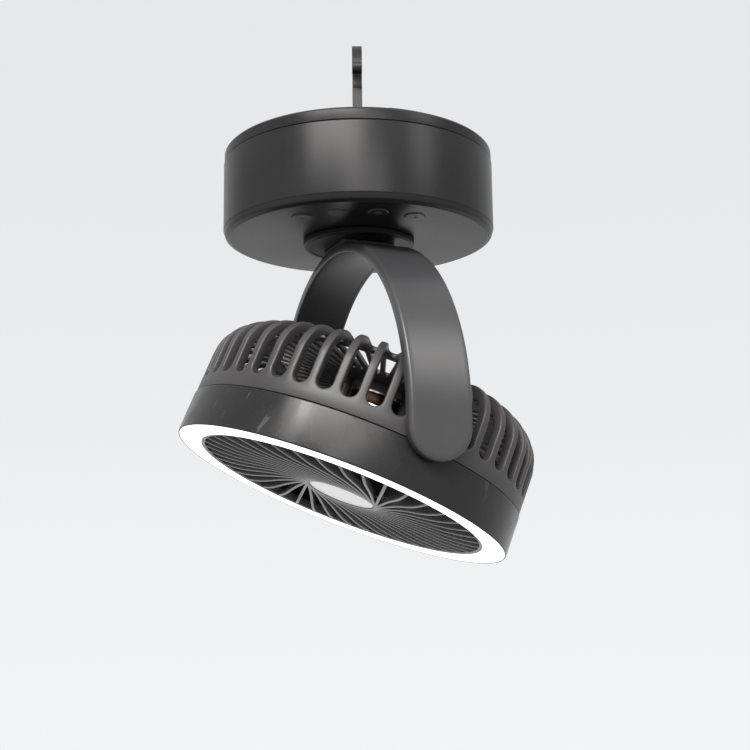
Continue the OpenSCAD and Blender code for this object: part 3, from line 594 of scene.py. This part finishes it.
def facing(degrees):
    """The unit directions (x, y) at these angles."""
    angle = np.radians(degrees)
    return np.stack([np.cos(angle), np.sin(angle)], -1)


def circle(radius, steps=48):
    """The outline of a circle."""
    angle = np.linspace(0, 2 * np.pi, steps, endpoint=False)
    return np.stack([radius * np.cos(angle), radius * np.sin(angle)], -1)


def arc(radius, start, end, centre=(0, 0), steps=20):
    """Points along an arc, with its ends in degrees."""
    return np.array(centre) + radius * facing(np.linspace(start, end, steps))


def beside(x, y, place):
    """place, for points that are measured from (x, y)."""
    return lambda points: place(np.asarray(points) + (x, y, 0))


def along_tilt(side, place):
    """place, for points turned about the tilt axis: on its right side (1) or its left (-1)."""
    return lambda points: place(points[..., [2, 0, 1]] * (side, side, 1))


# ---- the rear cage ----

def cage_path(c, a):
    """The cage's outer surface in its half plane. a is the length along it from the seam: up the side wall,
    round the quarter-circle shoulder, in over the ribs' crest, and down a soft step to the ring and plate.
    Gives the radius, the height, the outward direction and the wall's depth."""
    wall = c.wall_top - c.seam_z
    turn = np.clip((a - wall) / c.shoulder_r, 0, np.pi / 2)
    inward = np.clip(a - wall - np.pi / 2 * c.shoulder_r, 0, None)
    r = c.rim_r - c.shoulder_r * (1 - np.cos(turn)) - inward
    step = np.clip((c.ring_r + 2 - r) / 2.2, 0, 1)
    step = step * step * (3 - 2 * step)
    z = c.seam_z + np.clip(a, None, wall) + c.shoulder_r * np.sin(turn) - step * c.ring_drop
    return r, z, np.stack([np.cos(turn), np.sin(turn)], -1), c.depth + (c.plate_t - c.depth) * step


def cage_along(c, r):
    """The length along the cage's path at which its flat back is at radius r."""
    return c.wall_top - c.seam_z + np.pi / 2 * c.shoulder_r + c.rim_r - c.shoulder_r - r


def rim_loop(c, low, high, rows, columns):
    """A cell's rim, once round: across at low, up one side, back at high and down the other side. Points
    across are spread evenly over the pitch's arc, so that neighbours meet point to point."""
    across = np.linspace(-1, 1, columns)[:-1]
    along = np.linspace(low, high, rows)[:-1]
    a = np.concatenate([np.full(columns - 1, low), along, np.full(columns - 1, high), low + high - along])
    x = np.concatenate([across, np.ones(rows - 1), -across, -np.ones(rows - 1)])
    return np.stack([a, x * cage_path(c, a)[0] * np.pi / c.slot_count], -1)


def pierced_cell(c, loop, spine, radius, edge):
    """A cell of the cage with a hole in it, rim points by rings. spine is the hole's middle: its two ends
    along the path, and half its width across. A rim point's nearest point of the spine, the way from there
    to the rim point and the radius give the hole's outline. The rings run from the outer face's rim over a
    quarter-round edge, through the wall and over a smaller edge to the inner face's rim."""
    low, high, half = spine
    near = np.clip(loop[:, 0], low, high)
    near = np.stack([near, np.sign(loop[:, 1]) * np.minimum(np.abs(loop[:, 1]), half(near))], -1)
    way = (loop - near) / np.linalg.norm(loop - near, axis=1, keepdims=True)
    quarter = np.linspace(0, np.pi / 2, 4)
    away = np.concatenate([edge * (1 - np.sin(quarter)), 0.6 * edge * (1 - np.sin(quarter[::-1]))])
    sunk = np.concatenate([edge * (1 - np.cos(quarter)), -0.6 * edge * (1 - np.cos(quarter[::-1]))])
    rings = near[:, None] + way[:, None] * (radius(near[:, 0])[:, None] + away)[..., None]
    rings = np.concatenate([loop[:, None], rings, loop[:, None]], 1)
    share = np.repeat([0.0, 1.0], 5)
    sunk = np.concatenate([[0], sunk, [0]])

    r, z, out, depth = cage_path(c, rings[..., 0])
    angle = rings[..., 1] / r
    depth = share * depth + sunk
    return r - depth * out[..., 0], z - depth * out[..., 1], angle


def cell_copies(cell, turns):
    """Copies of a cell's (radius, height, angle) grids at these turns about the shaft."""
    r, z, angle = cell
    angle = angle + turns[:, None, None]
    return np.stack([r * np.cos(angle), r * np.sin(angle), np.broadcast_to(z, angle.shape)], -1)


# ---- operators ----

class FAN_OT_stage(bpy.types.Operator):
    """Camera, floor, surroundings and soft lights"""
    bl_idname = "fan.stage"
    bl_label = "Stage"

    def execute(self, context):
        settings = context.scene.fan_stage
        camera = bpy.data.cameras.new("camera")
        camera.lens = 50.237
        camera.sensor_width = 36
        holder = bpy.data.objects.new("camera", camera)
        holder.matrix_world = Matrix(CAMERA_TURN).to_4x4()
        holder.location = CAMERA_PLACE
        context.scene.collection.objects.link(holder)
        context.scene.camera = holder
        context.scene.view_settings.view_transform = "Standard"

        floor_r, floor_z, steps = 2.6, -1.5, 96
        rim = np.hstack([circle(floor_r, steps), np.full((steps, 1), floor_z)])
        mesh = bpy.data.meshes.new("floor")
        mesh.from_pydata(rim.tolist(), [], [list(range(steps))])
        floor = bpy.data.objects.new("floor", mesh)
        context.scene.collection.objects.link(floor)
        f = Finish(bpy.data.materials.new("floor paper"))
        paper = f.noise(6, 3)
        tint = shade(tuple(settings.floor_colour))
        matt = f.add("ShaderNodeBsdfPrincipled", {}, {
            "Base Color": f.mix(paper, shade(tint, 0.97), shade(tint, 1.02)), "Roughness": 0.9,
            "Specular IOR Level": 0.1})
        pale = f.add("ShaderNodeEmission", {}, {"Color": (1.0, 0.998, 0.99, 1), "Strength": 1.0})
        share = 0.4 + seen_ray(f) * 0.5
        mesh.materials.append(f.close(f.add("ShaderNodeMixShader", {}, {0: share, 1: matt, 2: pale})))

        world = bpy.data.worlds.new("surroundings")
        context.scene.world = world
        f = Finish(world)
        way = f.add("ShaderNodeTexCoord", output="Generated")
        upward = f.add("ShaderNodeSeparateXYZ", {}, {0: way}, output=2)
        backdrop = f.mix(upward.between(-0.45, 0.45), (0.93, 0.935, 0.945, 1), (0.80, 0.805, 0.815, 1))
        shown = f.add("ShaderNodeBackground", {}, {"Color": backdrop, "Strength": 1.0})
        fill = f.add("ShaderNodeBackground", {}, {"Color": (1, 1, 1, 1), "Strength": settings.fill})
        both = f.add("ShaderNodeMixShader", {}, {0: seen_ray(f), 1: fill, 2: shown})
        f.add("ShaderNodeOutputWorld", {}, {"Surface": both})

        soft_light("key light", (-19, 34.5), 1.2, (0.80, 0.32), settings.key_watts)
        soft_light("side light", (54, 32), 1.4, (0.45, 0.60), settings.side_watts)
        soft_light("front light", (6, 19), 1.4, (0.80, 0.28), settings.front_watts)
        return {"FINISHED"}


class FAN_OT_cage(bpy.types.Operator):
    """Rear cage: ribs over the shoulder, ring, spokes and middle plate, with the motor's posts"""
    bl_idname = "fan.cage"
    bl_label = "Rear cage"

    def execute(self, context):
        c = context.scene.fan_cage
        pitch = 2 * np.pi / c.slot_count
        slot_half = pitch / 2 * c.slot_share
        columns = 9
        turns = pitch * (np.arange(c.slot_count) + 0.5)

        foot, plate_r = c.slot_tip - 1.8, c.hub_r - 2
        low = foot - c.seam_z
        high = cage_along(c, c.ring_r - 0.8)
        slots = rim_loop(c, low, high, 34, columns)
        top = cage_along(c, c.ring_r / (1 - np.sin(slot_half)))

        def slot_radius(a):
            """A slot's half width: the radius there times the sine of half the angle that it spans."""
            return cage_path(c, a)[0] * np.sin(slot_half)

        bottom = c.slot_tip + c.rim_r * np.sin(slot_half) - c.seam_z
        whole = pierced_cell(c, slots, (bottom, top, np.zeros_like), slot_radius, c.edge)
        short_bottom = c.wall_top + 1.5 - c.seam_z
        short = pierced_cell(c, slots, (short_bottom, top, np.zeros_like), slot_radius, c.edge)
        off_arm = np.abs((turns + np.pi / 2) % np.pi - np.pi / 2)
        by_arm = off_arm < np.arcsin((c.arm_w / 2 + 1) / c.rim_r)

        inside = cage_along(c, plate_r)
        windows = rim_loop(c, high, inside, 12, columns)
        corner = 0.6
        spine = (cage_along(c, c.ring_r - c.ring_w - corner), cage_along(c, c.hub_r + corner),
                 lambda a: cage_path(c, a)[0] * np.tan(pitch / 2) - c.spoke_w / 2 - corner)
        window = pierced_cell(c, windows, spine, lambda a: np.full_like(a, corner), c.edge * 0.55)

        back_z = c.wall_top + c.shoulder_r - c.ring_drop
        under_z, root = back_z - c.plate_t, back_z - 1
        tongue, neck, inner = c.seam_z - 4.35, c.rim_r - 2.2, c.rim_r - c.depth
        band = [(c.rim_r, foot), (c.rim_r, c.seam_z + 0.5), (c.rim_r - 0.15, c.seam_z + 0.15),
                (c.rim_r - 0.5, c.seam_z), (neck, c.seam_z), (neck, tongue), (inner, tongue), (inner, foot)]
        middle = [(plate_r, back_z), (c.hub_r / 2, back_z), (0, back_z)]
        below = [(0, under_z), (c.hub_r / 2, under_z), (plate_r, under_z)]
        cells = ((whole, turns[~by_arm]), (short, turns[by_arm]), (window, turns))
        skins = [grids(in_head(cell_copies(cell, where)), (True, False)) for cell, where in cells]
        skins += [turned(outline, in_head, c.slot_count * (columns - 1), whole=False)
                  for outline in (band, middle, below)]
        cage = solid("rear_cage", *skins)

        bucket = rounded_box(14.8, 16.8, 24.6, root, 0.3, 3, far=0)
        post = rounded([(0, 8, 0), (c.post_r, 8, 0.3), (c.post_r, root, 0), (0, root, 0)], 4)
        pad_r, pad_in, pad_out = 8.4, 77.9, 83.9
        pad = [(0, pad_in), (pad_r - 0.2, pad_in), (pad_r, pad_in + 0.3), (pad_r, pad_out - 0.3),
               (pad_r - 0.3, pad_out), (0, pad_out)]
        extras = [turned(bucket, in_head, 96)]
        extras += [turned(post, beside(x, y, in_head), 32, whole=False)
                   for x, y in c.post_ring * facing([30, 150, 270])]
        extras += [turned(pad, along_tilt(side, in_head), 64, whole=False) for side in (1, -1)]
        posts = solid("cage_posts", *extras)
        plastic = cage_finish(context.scene.fan_finishes.cage_colour)
        finish_piece(cage, "head", plastic, ("rear_shell",))
        finish_piece(posts, "head", plastic)
        return {"FINISHED"}


def grille_front(g, r):
    """Height of the grille's front at radius r: a ring-shaped crown round a sunk middle. It falls off from
    the crest as exp(-x * x), where x is the distance from the crest over the crest's width."""
    return g.middle_z - g.crown * np.exp(-((r - g.crest_r) / g.crest_w) ** 2)


class FAN_OT_grille(bpy.types.Operator):
    """Front grille: straight ribs that touch the middle's eye, the rim, and the white centre cap"""
    bl_idname = "fan.grille"
    bl_label = "Front grille"

    def execute(self, context):
        g = context.scene.fan_grille
        touch = np.arange(g.rib_count)[:, None] * 2 * np.pi / g.rib_count
        cos, sin = np.cos(touch), np.sin(touch)
        s = np.linspace(0, np.sqrt((g.duct_r - 0.3) ** 2 - g.eye_r ** 2), 36)
        front = np.broadcast_to(grille_front(g, np.hypot(s, g.eye_r)), (g.rib_count, len(s)))
        path = np.stack([g.eye_r * cos + s * sin, g.eye_r * sin - s * cos, front], -1)
        side = np.stack([cos, sin, 0 * touch], -1)
        section = rounded_box(-g.rib_t / 2, g.rib_t / 2, 0, g.rib_d, 0.35, 4, far=0.2)
        lip, land, rim_z = g.duct_r - 0.6, g.duct_r - 0.1, grille_front(g, g.duct_r)
        rim = [(lip, rim_z + 0.1, 0.2), (g.duct_r, rim_z, 0.2), (g.rim_r, rim_z - 0.35, 0.25),
               (g.rim_r, rim_z + 2.4, 0.1), (land, rim_z + 2.4, 0), (land, rim_z + 4, 0.2),
               (lip, rim_z + 4, 0.2)]
        collar, rebate = g.eye_r + 1.4, g.cap_r - 1.4
        seat, back = g.middle_z + 2.1, g.middle_z + 3.2
        eye = [(g.cap_r + 0.1, g.middle_z, 0.15), (collar, g.middle_z, 0.5), (collar, back, 0.2),
               (rebate, back, 0.2), (rebate, seat, 0.1), (g.cap_r + 0.1, seat, 0.1)]
        rings = [turned(rounded(outline, 4), in_head, 176) for outline in (rim, eye)]
        grille = solid("swirl_grille", swept(path, side, UP, section, in_head), *rings, sharp=50)
        plastic = moulded("grille plastic", context.scene.fan_finishes.grille_colour, 0.3, grain=0.1,
                          edge=0.0002)
        finish_piece(grille, "head", plastic, ("front_grille",))

        face, back = g.middle_z + 0.15, g.middle_z + 1.75
        skirt, bore = g.cap_r - 1.5, g.cap_r - 2.7
        cap = [(0, face), (g.cap_r * 0.6, face), (g.cap_r - 0.5, face + 0.05), (g.cap_r - 0.15, face + 0.2),
               (g.cap_r, face + 0.5), (g.cap_r, back), (skirt, back), (skirt, back + 1.7),
               (bore, back + 1.7), (bore, back), (0, back)]
        disc = solid("cap_disc", turned(cap, in_head, 128, whole=False), sharp=50)
        finish_piece(disc, "head", white_plastic("cap plastic", (0.96, 0.96, 0.97), 0.3),
                     ("centre_cap",))
        return {"FINISHED"}


class FAN_OT_front(bpy.types.Operator):
    """Front housing and the light ring's diffuser"""
    bl_idname = "fan.front"
    bl_label = "Front housing"

    def execute(self, context):
        look = context.scene.fan_finishes
        outer, inner, duct, sleeve = 84, 81.6, 71.1, 73.1
        face, shelf, web, seam = -28.6, -25.4, -19.3, -9.05
        wall = rounded([
            (inner, seam, 0.1), (outer - 0.15, seam, 0.3), (outer, seam - 0.35, 0.2),
            (outer, face + 0.4, 0.3), (outer - 0.4, face, 0.15), (outer - 0.7, face, 0.1),
            (outer - 0.7, shelf, 0), (inner, shelf, 0),
            (inner, web - 2.5, 0), (sleeve, web - 2.5, 0), (sleeve, shelf, 0.2), (duct, shelf, 0.2),
            (duct, seam + 0.15, 0.3), (sleeve, seam + 0.15, 0.3), (sleeve, web, 0), (inner, web, 0)], 5)
        housing = solid("front_wall", turned(wall, in_head, 256), sharp=35)
        finish_piece(housing, "head", head_finish(look.head_colour), ("front_housing",))
        lens = rounded([(72.4, face + 0.1, 0.4), (83.25, face + 0.1, 0.3), (83.25, shelf - 0.1, 0.1),
                        (72.4, shelf - 0.1, 0.1)], 6)
        ring = solid("light_ring", turned(lens, in_head, 256), sharp=35)
        finish_piece(ring, "head", ring_finish(look.glow), ("led_diffuser",))
        return {"FINISHED"}


class FAN_OT_impeller(bpy.types.Operator):
    """Impeller: a cup-shaped hub with blades whose chord turns and rises, and whose tips lean forward"""
    bl_idname = "fan.impeller"
    bl_label = "Impeller"

    def execute(self, context):
        b = context.scene.fan_impeller
        # u runs from the hub to the tip, and v across the blade on one face and back on the other
        u = np.linspace(0, 1, 25)[:, None]
        v = np.concatenate([np.linspace(0, 1, 20), np.linspace(1, 0, 20)[1:-1]])[None, :]
        face = np.concatenate([np.ones(20), -np.ones(18)])[None, :]
        lip = np.sqrt(np.clip(1 - np.clip((u - 0.97) / 0.03, 0, 1) ** 2, 0, 1))
        thick = b.blade_t / 2 * (0.16 + 0.84 * np.sin(np.pi * v) ** 0.7) * lip
        root = b.hub_r - 0.9
        r = root + (b.tip_r - root) * u
        turn = np.radians((v - 0.5) * b.chord * (0.8 + 0.35 * u) + 16 * u * u)
        rise = (0.5 - v) * b.pitch * (1 - 0.3 * u) + 2.2 * np.sin(np.pi * v) * (1 - 0.4 * u)
        z = b.middle_z + rise + face * thick
        turns = np.arange(b.blade_count)[:, None, None] * 2 * np.pi / b.blade_count + turn
        blades = np.stack([r * np.cos(turns), r * np.sin(turns), np.broadcast_to(z, turns.shape)], -1)
        ends = blades[:, :1].mean(2, keepdims=True)
        blades = np.concatenate([np.broadcast_to(ends, blades[:, :1].shape), blades], 1)
        back, floor, bore = b.front_z + b.hub_h, b.front_z + 1.8, b.hub_r - 1.8
        boss_r, boss_z = 5, back - 4
        hub = rounded([(0, b.front_z, 0), (b.hub_r, b.front_z, 1.6), (b.hub_r, back, 0.3), (bore, back, 0.3),
                       (bore, floor, 1), (boss_r, floor, 0), (boss_r, boss_z, 0), (0, boss_z, 0)], 6)
        skins = (grids(in_head(blades), (False, True)), turned(hub, in_head, 96))
        impeller = solid("fan_blades", *skins, sharp=50)
        plastic = blade_finish(context.scene.fan_finishes.blade_colour)
        finish_piece(impeller, "impeller", plastic, ("impeller",))
        return {"FINISHED"}


class FAN_OT_yoke(bpy.types.Operator):
    """Yoke: a bent strap with round ends, a bevelled rim, and the liner let into its inner face"""
    bl_idname = "fan.yoke"
    bl_label = "Yoke"

    def execute(self, context):
        y = context.scene.fan_yoke
        half, thick = y.strap_w / 2, y.strap_t
        inner, outer = y.inner_r, y.inner_r + thick
        length = 2 * y.leg + np.pi * outer
        # the rim's outline, once round: the strap laid flat is a long shape with half-round ends
        end = np.linspace(-np.pi / 2, np.pi / 2, 33)[1:-1]
        run = np.linspace(0, length, 150)
        middle = np.concatenate([run, np.full_like(end, length), run[::-1], np.zeros_like(end)])
        ways = ((0 * run, 0 * run - 1), (np.cos(end), np.sin(end)), (0 * run, 0 * run + 1),
                (-np.cos(end), -np.sin(end)))
        way = np.concatenate([np.stack(pair, -1) for pair in ways])
        # across the strap: the distance from its middle line and the height over its inner face
        bevel, slope, groove = half - y.bevel, thick - y.bevel, half - 1.8
        rings = np.array([
            (0, thick), (half - 3, thick), (bevel - 0.15, thick), (bevel + 0.15, thick - 0.12),
            (half - 0.25, slope + 0.05), (half, slope - 0.3), (half, 0.5), (half - 0.12, 0.14),
            (half - 0.5, 0), (groove + 0.05, 0), (groove, 0.05), (groove, 0.6), (groove - 0.2, 0.6),
            (groove - 0.2, 0.05), (groove - 0.25, 0), (half - 6, 0), (0, 0)])
        s = middle[:, None] + way[:, :1] * rings[:, 0]
        w = way[:, 1:] * rings[:, 0]
        strap = solid("yoke_strap", grid(in_yoke(bent(y, s, w, rings[:, 1])), (True, False)), sharp=38)

        crown = y.leg + outer + 0.95
        saddle = upright(rounded_box(-13.6, 13.6, -14.5, 14.5, 1, 5)[:, ::-1], crown - 6, crown, in_yoke)
        stub_r, stub_end = 5.5, 75.2
        stub = [(0, stub_end), (stub_r - 0.2, stub_end), (stub_r, stub_end + 0.2), (stub_r, inner + 1),
                (0, inner + 1)]
        stubs = [turned(stub, along_tilt(side, in_yoke), 48, whole=False) for side in (1, -1)]
        fixed = solid("yoke_saddle", saddle, *stubs)
        plastic = strap_finish(context.scene.fan_finishes.yoke_colour)
        finish_piece(strap, "yoke", plastic, ("yoke", "yoke_liner"))
        finish_piece(fixed, "yoke", plastic)

        table_r, top, low = 28, -0.35, -3.45
        table = rounded([(0, top, 0), (table_r, top, 0.2), (table_r, low + 0.85, 0.35),
                         (table_r - 0.9, low, 0.3), (table_r - 2.6, low, 0.15),
                         (table_r - 2.9, low + 0.25, 0.1), (0, low + 0.25, 0)], 5)
        tube = rounded_box(6, 9, -3, 9.5, 0, 4, far=0.4)
        turntable = solid("yoke_turntable", turned(table, on_base, 128), turned(tube, on_base, 64), sharp=35)
        plastic = moulded("turntable plastic", context.scene.fan_finishes.base_colour, 0.45, specular=0.15)
        finish_piece(turntable, "yoke", plastic, ("turntable",))
        return {"FINISHED"}


def bent(y, s, w, height):
    """Points of the flat strap bent to the arch. s runs along the outer face, w across it and height out
    from the inner face: straight up one leg, round the half circle and down the other leg."""
    outer = y.inner_r + y.strap_t
    turn = np.clip((s - y.leg) / outer, 0, np.pi)
    radius = y.inner_r + height
    up = np.clip(s, None, y.leg) + radius * np.sin(turn) - np.clip(s - y.leg - np.pi * outer, 0, None)
    return np.stack([-radius * np.cos(turn), w, up], -1)


class FAN_OT_base(bpy.types.Operator):
    """Base: the cup with its stepped rim and openings, and the cover with the hook's pocket"""
    bl_idname = "fan.base"
    bl_label = "Base"

    def execute(self, context):
        b = context.scene.fan_base
        look = context.scene.fan_finishes
        bore_r, floor_t, inner = 9.05, 2.8, b.rim_r - 2.5
        cup = rounded([
            (bore_r, 0, 0.2), (b.rim_r - 3.3, 0, 0.1), (b.rim_r - 3.1, 0.25, 0.1), (b.rim_r - 0.9, 1.0, 1.6),
            (b.rim_r - 0.3, 3.5, 0.3), (b.rim_r, 3.8, 0.15), (b.rim_r, b.cup_h, 0.25), (inner, b.cup_h, 0.1),
            (inner, 4.3, 1.5), (b.rim_r - 4, floor_t, 0), (bore_r, floor_t, 0.2)], 7)

        def port(half, low, high, place):
            """A cutter through the side wall, with this half width and these heights."""
            outline = rounded_box(-half, half, 62, 70, 0.3, 3, far=0)
            return solid("cut", upright(outline, low, high, place))

        body = solid("base_body", turned(cup, on_base, 240), sharp=30)
        cutters = [solid("cut", upright(circle(5), -1, 5, beside(x, y, on_base))) for x, y in key_places(b)]
        cutters.append(port(4.7, 9.4, 13, on_base))
        cutters.append(port(4.2, 9.6, 11.6, lambda p: on_base(about_z(p, -14))))
        body = carve(body, cutters, sharp=30)
        plastic = base_finish(look.base_colour)
        finish_piece(body, "base", plastic, ("base_cup",))

        top = b.cup_h + b.cover_h
        edge, spigot, seam, under = b.rim_r - 0.3, b.rim_r - 4.9, b.cup_h + 0.4, top - 2.5
        cover = rounded([
            (0, top, 0), (b.rim_r - 1.4, top, 0.4), (edge, top - 1.1, 0.4), (edge, seam, 0.2),
            (spigot, seam, 0), (spigot, under, 0), (0, under, 0)], 6)
        lid = solid("base_lid", turned(cover, on_base, 240), sharp=30)
        turn = np.linspace(-2.11, 2.11, 40)

        def keyhole(grown):
            """The outline of the crook's circle and the shank's bar, with a margin all round."""
            radius, back, half = 15.5 + grown, -6 - grown, 13.3 + grown
            crook = np.stack([b.hook_len + radius * np.cos(turn), radius * np.sin(turn)], -1)
            return np.concatenate([crook, [(back, half), (back, -half)]])

        wall = keyhole(1.8)
        wall = wall * np.minimum(1, (b.rim_r - 2.9) / np.linalg.norm(wall, axis=1, keepdims=True))
        lid = carve(lid, [solid("join", upright(wall, top - 8.4, top - 1, on_base))], "UNION", sharp=30)
        cutters = [solid("cut", upright(keyhole(0), top - 6.6, top + 3, on_base))]
        corner = 54 * 0.7071
        cutters += [solid("cut", upright(circle(3.1, 32), top - 3, top + 1, beside(x, y, on_base)))
                    for x, y in ((corner, corner), (-corner, corner), (-corner, -corner), (corner, -corner))]
        lid = carve(lid, cutters, sharp=30)
        finish_piece(lid, "base", plastic, ("base_cover",))
        return {"FINISHED"}


def about_z(points, degrees):
    """Points turned about the z axis."""
    c, s = np.cos(np.radians(degrees)), np.sin(np.radians(degrees))
    return points @ np.array([[c, s, 0], [-s, c, 0], [0, 0, 1]])


def key_places(b):
    """The keys' middles, evenly pitched on an arc."""
    return b.key_ring * facing(-90 + (np.arange(4) - 1.5) * b.key_pitch)


class FAN_OT_keys(bpy.types.Operator):
    """Keys: four dished caps with plain marks for power, speed, light and timer"""
    bl_idname = "fan.keys"
    bl_label = "Keys"

    def execute(self, context):
        b = context.scene.fan_base
        plastic = moulded("key plastic", context.scene.fan_finishes.base_colour, 0.42, grain=0.4)
        ink = moulded("key print", (0.075, 0.075, 0.078), 0.5, grain=0.1)
        cap_r, flange_r = 4.8, 6
        dish, face, flange, back = -0.3, -0.45, 2.85, 3.85
        cap = rounded([(0, dish, 0), (cap_r - 0.9, face, 0.6), (cap_r, face, 0.35), (cap_r, flange, 0),
                       (flange_r, flange, 0), (flange_r, back, 0), (0, back, 0)], 6)
        for name, (x, y), marks in zip(KEY_NAMES, key_places(b), key_marks()):
            place = beside(x, y, on_base)
            piece = solid(name + "_cap", turned(cap, place, 64), sharp=35)
            finish_piece(piece, name, plastic, (name,))
            strokes = [stroke(mark, place) for mark in marks]
            finish_piece(solid(name + "_mark", *strokes), name, ink)
        return {"FINISHED"}


def stroke(points, place):
    """A flat printed line 0.36 wide along points (x, y) on a key's face."""
    ink_z = -0.4
    path = np.concatenate([points, np.full((len(points), 1), ink_z)], 1)
    along = np.gradient(path, axis=0)
    along /= np.linalg.norm(along, axis=1, keepdims=True)
    side = np.stack([-along[:, 1], along[:, 0], np.zeros(len(path))], -1)
    section = [(-0.18, -0.06), (0.18, -0.06), (0.18, 0.2), (-0.18, 0.2)]
    return swept(path, side, UP, section, place)


def key_marks():
    """The lines of each key's mark: a broken ring with a bar, three blades, a lamp with rays, a clock."""
    power = [arc(1.7, -60, 240), np.array([(0, -0.2), (0, -2.2)])]
    speed = [arc(0.85, k, k + 170, 0.95 * facing(k), 10) for k in (90, 210, 330)]
    rays = [np.array([[1.5], [2.2]]) * facing(k) for k in range(0, 360, 45)]
    light = [arc(1, 0, 360), *rays]
    timer = [arc(1.9, 0, 360), np.array([(0, -1.2), (0, 0)]), np.array([(0, 0), (0.9, 0.5)])]
    return power, speed, light, timer


class FAN_OT_motor(bpy.types.Operator):
    """Motor trim: the dark brown insulating band round the can"""
    bl_idname = "fan.motor"
    bl_label = "Motor trim"

    def execute(self, context):
        can_r, foil = 14.55, 0.17
        band = rounded_box(can_r, can_r + foil, 17.6, 23.6, 0.05, 3)
        sleeve = solid("motor_band", turned(band, in_head, 128))
        finish_piece(sleeve, "head", metal("band foil", (0.022, 0.014, 0.008), 0.3, (1, 1, 4)))
        return {"FINISHED"}


class FAN_OT_paint_frame(bpy.types.Operator):
    """Finishes for the pieces that are carried over from the frame"""
    bl_idname = "fan.paint_frame"
    bl_label = "Frame finishes"

    def execute(self, context):
        look = context.scene.fan_finishes
        base = look.base_colour
        finishes = (
            (moulded("hook plastic", base, 0.42, specular=0.2), "hook"),
            (base_finish(base), "base_cup base_cover"),
            (rubber("pad rubber", (0.015, 0.015, 0.016)), "foot_pads"),
            (moulded("key plastic", base, 0.4), " ".join(KEY_NAMES)),
            (strap_finish(look.yoke_colour), "turntable yoke yoke_liner"),
            (head_finish(look.head_colour), "front_housing"),
            (cage_finish(look.cage_colour), "rear_shell"),
            (moulded("grille plastic", look.grille_colour, 0.4), "front_grille"),
            (blade_finish(look.blade_colour), "impeller"),
            (ring_finish(look.glow), "led_diffuser"),
            (white_plastic("white plastic", (0.82, 0.82, 0.84), 0.3), "centre_cap"),
            (white_plastic("nylon", (0.7, 0.7, 0.66), 0.5), "pivot_washers swivel_washer"),
            (white_plastic("lens plastic", (0.6, 0.6, 0.62), 0.15), "charge_lens"),
            (metal("plated steel", (0.6, 0.6, 0.61), 0.28, (1, 1, 6)),
             "hook_pin cover_screws yoke_screws head_screws bracket_screws motor_screws motor_shaft "
             "pivot_clips shaft_clip swivel_nut motor_bracket motor_can charging_socket tact_switches"),
            (cell_wrap("cell wrap", (0.05, 0.16, 0.32)), "battery_cells"),
            (moulded("tray plastic", base, 0.45), "battery_tray"),
            (circuit_board("green board", (0.02, 0.10, 0.045), (0.05, 0.2, 0.08)), "main_board key_board"),
            (circuit_board("white board", (0.72, 0.72, 0.72), (0.6, 0.6, 0.58)), "led_board"),
            (metal("bronze", (0.6, 0.42, 0.2), 0.4), "motor_bushes"),
            (metal("copper", (0.75, 0.4, 0.22), 0.3, (8, 8, 1)), "motor_rotor"),
        )
        material = {name: finish for finish, names in finishes for name in names.split()}
        for name, node in frame["nodes"].items():
            node.data.materials.clear()
            node.data.materials.append(material[name])
        return {"FINISHED"}


CAMERA_PLACE = (0.0, -0.5144, -0.24507)
CAMERA_TURN = (
    (0.999848, 0.010098, -0.014208),
    (-0.012512, -0.151684, -0.988350),
    (-0.012135, 0.988377, -0.151535)
)
KEY_NAMES = ("key_power", "key_speed", "key_light", "key_timer")


class FAN_PT_panel(bpy.types.Panel):
    bl_idname = "FAN_PT_panel"
    bl_label = "Camping fan"
    bl_space_type = "VIEW_3D"
    bl_region_type = "UI"
    bl_category = "Camping fan"

    def draw(self, context):
        layout = self.layout
        for group in (getattr(context.scene, name) for name in GROUPS):
            box = layout.box()
            for name in group.__annotations__:
                box.prop(group, name)
        for step in STEPS:
            layout.operator(step.bl_idname)


STEPS = (FAN_OT_stage, FAN_OT_paint_frame, FAN_OT_base, FAN_OT_keys, FAN_OT_yoke, FAN_OT_front,
         FAN_OT_grille, FAN_OT_cage, FAN_OT_impeller, FAN_OT_motor)
GROUPS = {"fan_finishes": FanFinishes, "fan_stage": StageSettings, "fan_base": BaseSizes,
          "fan_yoke": YokeSizes, "fan_grille": GrilleSizes, "fan_cage": CageSizes,
          "fan_impeller": ImpellerSizes}


def register():
    """Adds the classes, and the settings to every scene."""
    for cls in (*GROUPS.values(), *STEPS, FAN_PT_panel):
        bpy.utils.register_class(cls)
    for name, group in GROUPS.items():
        setattr(bpy.types.Scene, name, PointerProperty(type=group))


def unregister():
    """Takes away what register adds."""
    for name in GROUPS:
        delattr(bpy.types.Scene, name)
    for cls in (FAN_PT_panel, *reversed(STEPS), *GROUPS.values()):
        bpy.utils.unregister_class(cls)


def main():
    """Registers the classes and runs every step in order."""
    register()
    for step in STEPS:
        group, name = step.bl_idname.split(".")
        getattr(getattr(bpy.ops, group), name)()


if __name__ == "__main__":
    main()
